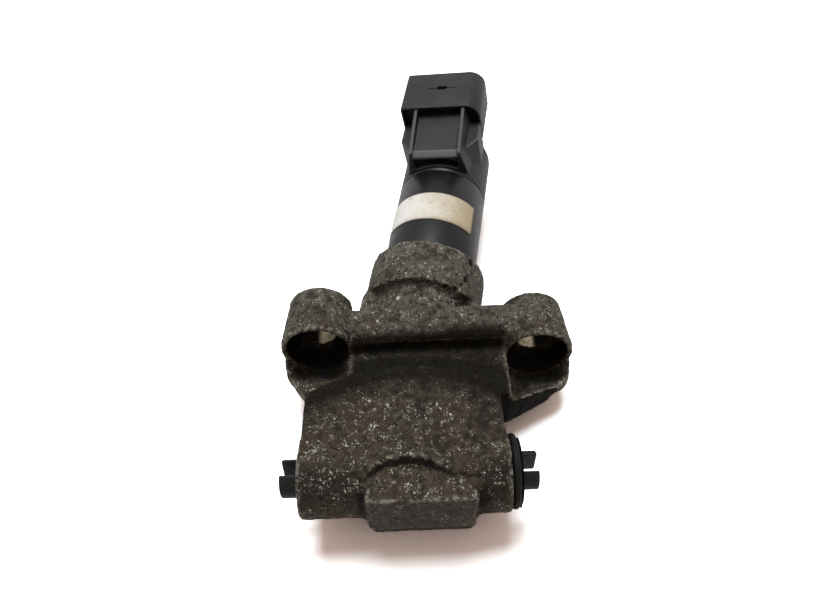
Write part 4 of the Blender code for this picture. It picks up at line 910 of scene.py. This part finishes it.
label_look, shader, coords = new_look("stained_paper")
tree = coords.id_data
on_paper = tree.nodes.new("ShaderNodeUVMap").outputs["UV"]
across = add_node(tree, "ShaderNodeSeparateXYZ", {"Vector": on_paper})
stain = cloud(coords, 160, 5, 0.65)
reach = maths("ADD", across.outputs["X"], times(stain, -0.55))
colour = blend(band(reach, 0.42, -0.25), PAPER, PAPER_STAINED)
spots = band(cloud(coords, 420, 4), 0.56, 0.72)
colour = blend(times(spots, 0.45), colour, PAPER_SPOTS)
edge = maths("ABSOLUTE", maths("SUBTRACT", across.outputs["Y"], 0.5), 0.0)
colour = blend(times(band(edge, 0.455, 0.5), 0.55), colour, PAPER_EDGES)
set_inputs(shader, {
    "Base Color": colour, "Roughness": 0.62, "Specular IOR Level": 0.2,
    "Normal": raised(cloud(coords, 500, 3), 0.12, 0.0002),
})

bm = bmesh.new()
strip = [bm.verts.new((LABEL_SKIN, LABEL_LOW, 0)), bm.verts.new((LABEL_SKIN, LABEL_HIGH, 0))]
strip_edge = bm.edges.new(strip)
bmesh.ops.rotate(bm, verts=strip, cent=(0, 0, 0), matrix=Matrix.Rotation(-LABEL_FROM, 3, "Y"))
bmesh.ops.spin(bm, geom=strip + [strip_edge], cent=(0, 0, 0), axis=(0, -1, 0), angle=LABEL_TO - LABEL_FROM,
               steps=LABEL_STEPS)
bmesh.ops.remove_doubles(bm, verts=bm.verts, dist=1e-7)
lengthwise = [edge for edge in bm.edges if abs(edge.verts[0].co.y - edge.verts[1].co.y) > LONG_EDGE]
bmesh.ops.subdivide_edges(bm, edges=lengthwise, cuts=LABEL_CUTS, use_grid_fill=True)
layer = bm.loops.layers.uv.new("UVMap")
for face in bm.faces:
    for loop in face.loops:
        angle = math.atan2(loop.vert.co.z, loop.vert.co.x) % (2 * math.pi)
        loop[layer].uv = ((angle - LABEL_FROM) / (LABEL_TO - LABEL_FROM),
                          (loop.vert.co.y - LABEL_LOW) / (LABEL_HIGH - LABEL_LOW))
bmesh.ops.recalc_face_normals(bm, faces=bm.faces)
bmesh.ops.solidify(bm, geom=bm.faces[:], thickness=-LABEL_THICKNESS)
bmesh.ops.transform(bm, matrix=motor_place, verts=bm.verts)
place_piece("blank_label", bm, label_look, "frame", "label_paper", "label")

# End cap: one black glass-filled moulding that closes the can and carries the plug on a ribbed neck.
# The plate between the ribs slopes up to the plug and ends in a lip that overhangs the can.
# Its edges are painted lighter, partly from wear and partly as a painted highlight, and its lip is painted
# lighter as a highlight.
CAP_START, CAP_END = 0.129, 0.1535
CAP_EDGE = 0.004
CAP_VOXEL = 0.0004
CAP_ROUNDS = 2
CAP_SPIGOT = ((0.01615, 0), (0.01615, -0.0015), (0.014, -0.0015))
CAP_HOLLOW = ((0.014, 0.015), (0.0075, 0.015), (0.0075, 0.0022))
CAP_BUSH_HOLE = ((0.0053, 0.0022), (0.0053, 0.0078), (0, 0.0078))
PLUG_ROLL = math.radians(8)
NECK_END = 0.1503
NECK_FOOT = 0.016
NECK_ROOT = 0.012
NECK_GAP = 0.0003
NECK_OVERLAP = 0.0015
PIECE_OVERLAP = 0.001
PLATE_NEAR, PLATE_FAR = 0.0232, 0.0256
PLATE_OVERLAP = 0.0003
RIB_NEAR, RIB_FAR = 0.0243, 0.0294
RIB_INNER, RIB_OUTER = 0.0091, 0.0105
LIP_THICKNESS = 0.0024
LIP_SLOPE_END = 0.1315
LIP_DROP = 0.0013
LIP_HIGHLIGHT = 0.75
HIGHLIGHT_BEHIND, HIGHLIGHT_UNDER = 0.0006, 0.0004
RECESS_END = 0.138
SHOULDER_LOW, SHOULDER_TOP = 0.006, 0.0207
SHOULDER_HALF = 0.0162
SHOULDER_POINT, SHOULDER_CORNER = 0.1333, 0.1408
PLASTIC_BLACK, PLASTIC_HAZE = (0.0085, 0.0085, 0.0087), (0.0165, 0.0165, 0.016)
PLASTIC_HIGHLIGHT_AND_WEAR = (0.105, 0.105, 0.103)

plug_place = motor_place @ Matrix.Rotation(-PLUG_ROLL, 4, "Y")

plastic_look, shader, coords = new_look("moulded_plastic")
spark = cloud(coords, 1700, 3)
haze = cloud(coords, 90, 4)
colour = blend(band(haze, 0.35, 0.7), PLASTIC_BLACK, PLASTIC_HAZE)
# Edges lighter from wear and a painted highlight; the lip gets a painted highlight.
rubbed_and_highlit = times(band(stored(shader, "wear"), 0.55, 0.72), 0.8)
rubbed_and_highlit = maths("MAXIMUM", rubbed_and_highlit, stored(shader, "handled"))
colour = blend(rubbed_and_highlit, colour, PLASTIC_HIGHLIGHT_AND_WEAR)
set_inputs(shader, {
    "Base Color": colour, "Roughness": scaled(haze, 0.2, 0.4), "Specular IOR Level": 0.27,
    "Normal": raised(spark, 0.12, 0.0002),
})


def slab(bm, near, far):
    """A box with sloping sides along the neck, between two ends.

    Each end is (left, right, bottom, top, left foot's spread, right foot's spread, station).
    """
    made = bmesh.ops.create_cube(bm, size=2)["verts"]
    for vert in made:
        left, right, bottom, top, spread_left, spread_right, station = near if vert.co.y < 0 else far
        if vert.co.z < 0:
            across = left - spread_left if vert.co.x < 0 else right + spread_right
            vert.co = (across, station, bottom)
        else:
            vert.co = (left if vert.co.x < 0 else right, station, top)
    bmesh.ops.transform(bm, matrix=plug_place, verts=made)


def even(half, bottom, top, station):
    """An end of a slab that is alike on both sides and has no spread."""
    return -half, half, bottom, top, 0, 0, station


cap_profile = [(0, CAP_END)]
for step in range(7):
    angle = math.radians(90 - 15 * step)
    radius = CAN_RADIUS - CAP_EDGE + CAP_EDGE * math.cos(angle)
    cap_profile.append((radius, CAP_END - CAP_EDGE + CAP_EDGE * math.sin(angle)))
cap_profile.append((CAN_RADIUS, CAP_START))
cap_profile += outline((0, CAP_START, CAP_SPIGOT + CAP_HOLLOW + CAP_BUSH_HOLE))
near = CAP_START + NECK_GAP
far = NECK_END + NECK_OVERLAP
half = RIB_INNER + PLATE_OVERLAP
slope = (PLATE_FAR - PLATE_NEAR) / (far - LIP_SLOPE_END)
spread = (NECK_FOOT - RIB_OUTER) / RIB_FAR
bottom = PLATE_NEAR - LIP_THICKNESS
recess_top = PLATE_NEAR + slope * (RECESS_END - LIP_SLOPE_END)
lip_end = even(half, bottom, PLATE_NEAR, LIP_SLOPE_END)
shoulder_end = even(SHOULDER_HALF, SHOULDER_LOW, SHOULDER_TOP, SHOULDER_CORNER)
bm = bmesh.new()
spun(bm, cap_profile, CAN_SIDES, motor_place)
slab(bm, even(half, bottom, PLATE_NEAR - LIP_DROP, near), lip_end)
slab(bm, lip_end, even(half, bottom, recess_top + slope * PIECE_OVERLAP, RECESS_END + PIECE_OVERLAP))
slab(bm, even(half, NECK_ROOT, recess_top, RECESS_END), even(half, NECK_ROOT, PLATE_FAR, far))
for side in (-1, 1):
    ends = []
    for station, top in ((near, RIB_NEAR), (far, RIB_FAR)):
        spill = spread * (top - NECK_ROOT)
        if side > 0:
            ends.append((RIB_INNER, RIB_OUTER, NECK_ROOT, top, 0, spill, station))
        else:
            ends.append((-RIB_OUTER, -RIB_INNER, NECK_ROOT, top, spill, 0, station))
    slab(bm, *ends)
slab(bm, even(RIB_OUTER, SHOULDER_LOW, SHOULDER_TOP, SHOULDER_POINT), shoulder_end)
slab(bm, shoulder_end, even(SHOULDER_HALF, SHOULDER_LOW, SHOULDER_TOP, NECK_END + PIECE_OVERLAP))
fuse(bm, CAP_VOXEL, CAP_ROUNDS)
to_plug = plug_place.inverted()
handled = []
# A painted highlight on the lip.
for vert in bm.verts:
    place = to_plug @ vert.co
    on_lip = place.y < LIP_SLOPE_END + HIGHLIGHT_BEHIND and abs(place.x) < half
    on_lip = on_lip and place.z > PLATE_NEAR - LIP_DROP - HIGHLIGHT_UNDER
    handled.append(LIP_HIGHLIGHT if on_lip else 0.0)
cap = place_piece("end_cap_body", bm, plastic_look, "frame", "cap_plastic", "end_cap")
add_attributes(cap.data, wear=edge_wear(cap.data), handled=handled)

# Plug shroud: the open box at the end of the cap that takes the cable plug, part of the same moulding.
# A slit and a small window on its top catch the plug's latch.
SHROUD_END = 0.1725
SHROUD_HALF = 0.0165
SHROUD_TOP = 0.03
SHROUD_BOTTOM = 0.012
SHROUD_ROUND = 0.0065
SHROUD_CORNER = 0.0012
SHROUD_WALL = 0.0022
SHROUD_BEVEL = 0.00035
SOCKET_FLOOR = 0.1545
SOCKET_CORNER = 0.0004
UNDERCUT_WALL = 0.001
UNDERCUT_DEPTH = 0.0032
LATCH_AT = 0.1625
LATCH_HALF_WIDTH = 0.006
LATCH_HALF_SLIT = 0.00022
WINDOW_HALF_WIDTH = 0.0019
WINDOW_HALF = 0.0011
WINDOW_ACROSS = -0.0002
WINDOW_DEPTH = 0.0013
TOP_TOLERANCE = 0.0001


def corner_arc(centre_x, centre_z, radius, start, steps):
    points = []
    for step in range(steps + 1):
        angle = math.radians(start + 90 * step / steps)
        points.append((centre_x + radius * math.cos(angle), centre_z + radius * math.sin(angle)))
    return points


def shroud_outline(wall, corner):
    """The shroud's section, drawn in by the wall, with one large round and three small corners."""
    side, large = SHROUD_HALF - wall, SHROUD_ROUND - wall
    top, bottom = SHROUD_TOP - wall, SHROUD_BOTTOM + wall
    points = corner_arc(side - large, top - large, large, 0, 14)
    points += corner_arc(corner - side, top - corner, corner, 90, 4)
    points += corner_arc(corner - side, bottom + corner, corner, 180, 4)
    points += corner_arc(side - corner, bottom + corner, corner, 270, 4)
    return points


bm = bmesh.new()
mouth_rims = []
back_rims = []
for wall, corner, start, end, rims in (
    (0, SHROUD_CORNER, NECK_END, SHROUD_END, mouth_rims),
    (SHROUD_WALL, SOCKET_CORNER, SOCKET_FLOOR, SHROUD_END, mouth_rims),
    (UNDERCUT_WALL, SOCKET_CORNER, NECK_END + UNDERCUT_DEPTH, NECK_END, back_rims),
):
    plate = bm.faces.new([bm.verts.new((x, start, z)) for x, z in shroud_outline(wall, corner)])
    pushed = bmesh.ops.extrude_face_region(bm, geom=[plate])
    open_end = next(item for item in pushed["geom"] if isinstance(item, bmesh.types.BMFace))
    bmesh.ops.translate(bm, verts=open_end.verts, vec=(0, end - start, 0))
    rims += open_end.edges[:]
    bmesh.ops.delete(bm, geom=[open_end], context="FACES_ONLY")
    if wall == 0:
        back_rims += plate.edges[:]
        bmesh.ops.delete(bm, geom=[plate], context="FACES_ONLY")
bmesh.ops.bridge_loops(bm, edges=mouth_rims)
bmesh.ops.bridge_loops(bm, edges=back_rims)
bmesh.ops.recalc_face_normals(bm, faces=bm.faces)
rims = [edge for edge in bm.edges if len(edge.link_faces) == 2 and edge.calc_face_angle() > math.radians(50)]
bmesh.ops.bevel(bm, geom=rims, offset=SHROUD_BEVEL, segments=3, profile=0.5, affect="EDGES", material=-1)


def top_faces():
    """The flat faces on top of the shroud."""
    level = [face for face in bm.faces if face.normal.z > 0.99]
    return [face for face in level if face.calc_center_median().z > SHROUD_TOP - TOP_TOLERANCE]


cuts = []
for across in (-LATCH_HALF_WIDTH, LATCH_HALF_WIDTH, -WINDOW_HALF_WIDTH, WINDOW_HALF_WIDTH):
    cuts.append(((across + WINDOW_ACROSS, 0, 0), (1, 0, 0)))
for along in (-WINDOW_HALF, WINDOW_HALF, -LATCH_HALF_SLIT, LATCH_HALF_SLIT):
    cuts.append(((0, LATCH_AT + along, 0), (0, 1, 0)))
bm.normal_update()
for place, normal in cuts:
    top = top_faces()
    edges = list({edge for face in top for edge in face.edges})
    corners = list({vert for face in top for vert in face.verts})
    bmesh.ops.bisect_plane(bm, geom=top + edges + corners, plane_co=place, plane_no=normal, dist=1e-7)
    bm.normal_update()
sunk = []
for face in top_faces():
    middle = face.calc_center_median()
    across = abs(middle.x - WINDOW_ACROSS)
    along = abs(middle.y - LATCH_AT)
    in_window = across < WINDOW_HALF_WIDTH and along < WINDOW_HALF
    in_slit = across < LATCH_HALF_WIDTH and along < LATCH_HALF_SLIT
    if in_window or in_slit:
        sunk.append(face)
deeper = bmesh.ops.extrude_face_region(bm, geom=sunk)
floor_verts = [item for item in deeper["geom"] if isinstance(item, bmesh.types.BMVert)]
bmesh.ops.translate(bm, verts=floor_verts, vec=(0, 0, -WINDOW_DEPTH))
bmesh.ops.delete(bm, geom=sunk, context="FACES")
bmesh.ops.transform(bm, matrix=plug_place, verts=bm.verts)
shroud = place_piece("plug_shroud", bm, plastic_look, "frame", "cap_plastic", "end_cap")
shroud.data.set_sharp_from_angle(angle=math.radians(40))

# Terminals: two tinned brass blades moulded into the floor of the plug socket, side by side.
# Each is stamped from strip, with a chamfered tip that leads it into the plug.
TERMINAL_HALF_WIDTH = 0.0014
TERMINAL_HALF_THICK = 0.0004
TERMINAL_ROOT, TERMINAL_TIP = 0.151, 0.166
TERMINAL_ACROSS = 0.0045
TERMINAL_HEIGHT = 0.021
TIP_CHAMFER = TERMINAL_HALF_THICK * 0.8
TIN_DULL, TIN_BRIGHT = (0.5, 0.48, 0.42), (0.68, 0.66, 0.6)

tin_look, shader, coords = new_look("tinned_brass")
dull = cloud(coords, 600, 3)
colour = blend(dull, TIN_DULL, TIN_BRIGHT)
set_inputs(shader, {"Base Color": colour, "Roughness": scaled(dull, 0.25, 0.18), "Metallic": 1.0})
for number, side in ((1, -1), (2, 1)):
    bm = bmesh.new()
    bmesh.ops.create_cube(bm, size=2)
    for vert in bm.verts:
        end = TERMINAL_TIP if vert.co.y > 0 else TERMINAL_ROOT
        vert.co = (vert.co.x * TERMINAL_HALF_WIDTH, end, vert.co.z * TERMINAL_HALF_THICK)
    tip = [edge for edge in bm.edges if all(vert.co.y > TERMINAL_TIP - 1e-6 for vert in edge.verts)]
    bmesh.ops.bevel(bm, geom=tip, offset=TIP_CHAMFER, segments=2, profile=0.5, affect="EDGES", material=-1)
    bmesh.ops.translate(bm, verts=bm.verts, vec=(side * TERMINAL_ACROSS, 0, TERMINAL_HEIGHT))
    bmesh.ops.transform(bm, matrix=plug_place, verts=bm.verts)
    node = f"terminal_{number}"
    blade = place_piece(f"terminal_blade_{number}", bm, tin_look, "frame", "terminal_tin", node)
    blade.data.set_sharp_from_angle(angle=math.radians(30))

# Pieces inside: turned steel, sintered bronze, wound copper, magnets, brushes and seals that the casting and
# the can close in. Their solids stay, each with the finish of its own metal, plastic or rubber.
def inner_look(name, dark, light, scale, low_rough, rough_range, metallic, stretch=(1, 1, 1)):
    """A finish that varies between two tones, drawn out along the directions where stretch is small."""
    look, shader, coords = new_look(name)
    mapped = {"Vector": coords, "Scale": stretch}
    pattern = cloud(add_node(coords.id_data, "ShaderNodeMapping", mapped).outputs["Vector"], scale, 4)
    set_inputs(shader, {
        "Base Color": blend(band(pattern, 0.32, 0.68), dark, light), "Metallic": metallic,
        "Roughness": scaled(pattern, rough_range, low_rough), "Normal": raised(pattern, 0.2, 0.0002),
    })
    return look


inner_finishes = (
    (("turned_steel", (0.22, 0.22, 0.23), (0.42, 0.42, 0.43), 900, 0.22, 0.25, 1.0, (1, 0.1, 0.1)),
     ("spindle_nut", "right_spacer", "left_guide_bush", "right_guide_bush", "left_circlip", "right_circlip",
      "worm", "worm_shaft", "worm_bearing", "drive_coupling", "rotor_shaft", "front_bearing")),
    (("lamination_steel", (0.1, 0.1, 0.11), (0.24, 0.24, 0.26), 1400, 0.35, 0.25, 0.9, (0.1, 1, 0.1)),
     ("armature_core",)),
    (("spring_steel", (0.1, 0.1, 0.105), (0.2, 0.2, 0.21), 1200, 0.3, 0.2, 1.0),
     ("left_brush_spring", "right_brush_spring")),
    (("sintered_bronze", (0.28, 0.16, 0.06), (0.52, 0.33, 0.15), 1800, 0.35, 0.3, 1.0),
     ("left_thrust_washer", "right_thrust_washer", "left_nut_bearing", "right_nut_bearing", "worm_end_bush",
      "rear_bush")),
    (("enamelled_copper", (0.3, 0.1, 0.03), (0.66, 0.3, 0.14), 1500, 0.25, 0.2, 1.0, (1, 0.15, 1)),
     ("front_winding", "rear_winding", "commutator")),
    (("gear_nylon", (0.48, 0.42, 0.3), (0.66, 0.6, 0.46), 500, 0.4, 0.2, 0.0), ("worm_wheel",)),
    (("sintered_ferrite", (0.025, 0.025, 0.027), (0.07, 0.07, 0.075), 1300, 0.55, 0.3, 0.0),
     ("left_magnet", "right_magnet")),
    (("brush_carbon", (0.012, 0.012, 0.012), (0.045, 0.045, 0.045), 1600, 0.45, 0.3, 0.0),
     ("left_brush", "right_brush")),
    (("brush_card_plastic", (0.012, 0.012, 0.012), (0.03, 0.03, 0.03), 700, 0.4, 0.2, 0.0), ("brush_card",)),
    (("seal_rubber", (0.006, 0.006, 0.006), (0.02, 0.02, 0.02), 800, 0.5, 0.3, 0.0), ("can_seal",)),
)
for finish, names in inner_finishes:
    look = inner_look(*finish)
    for name in names:
        frame["nodes"][name].material_slots[0].material = look
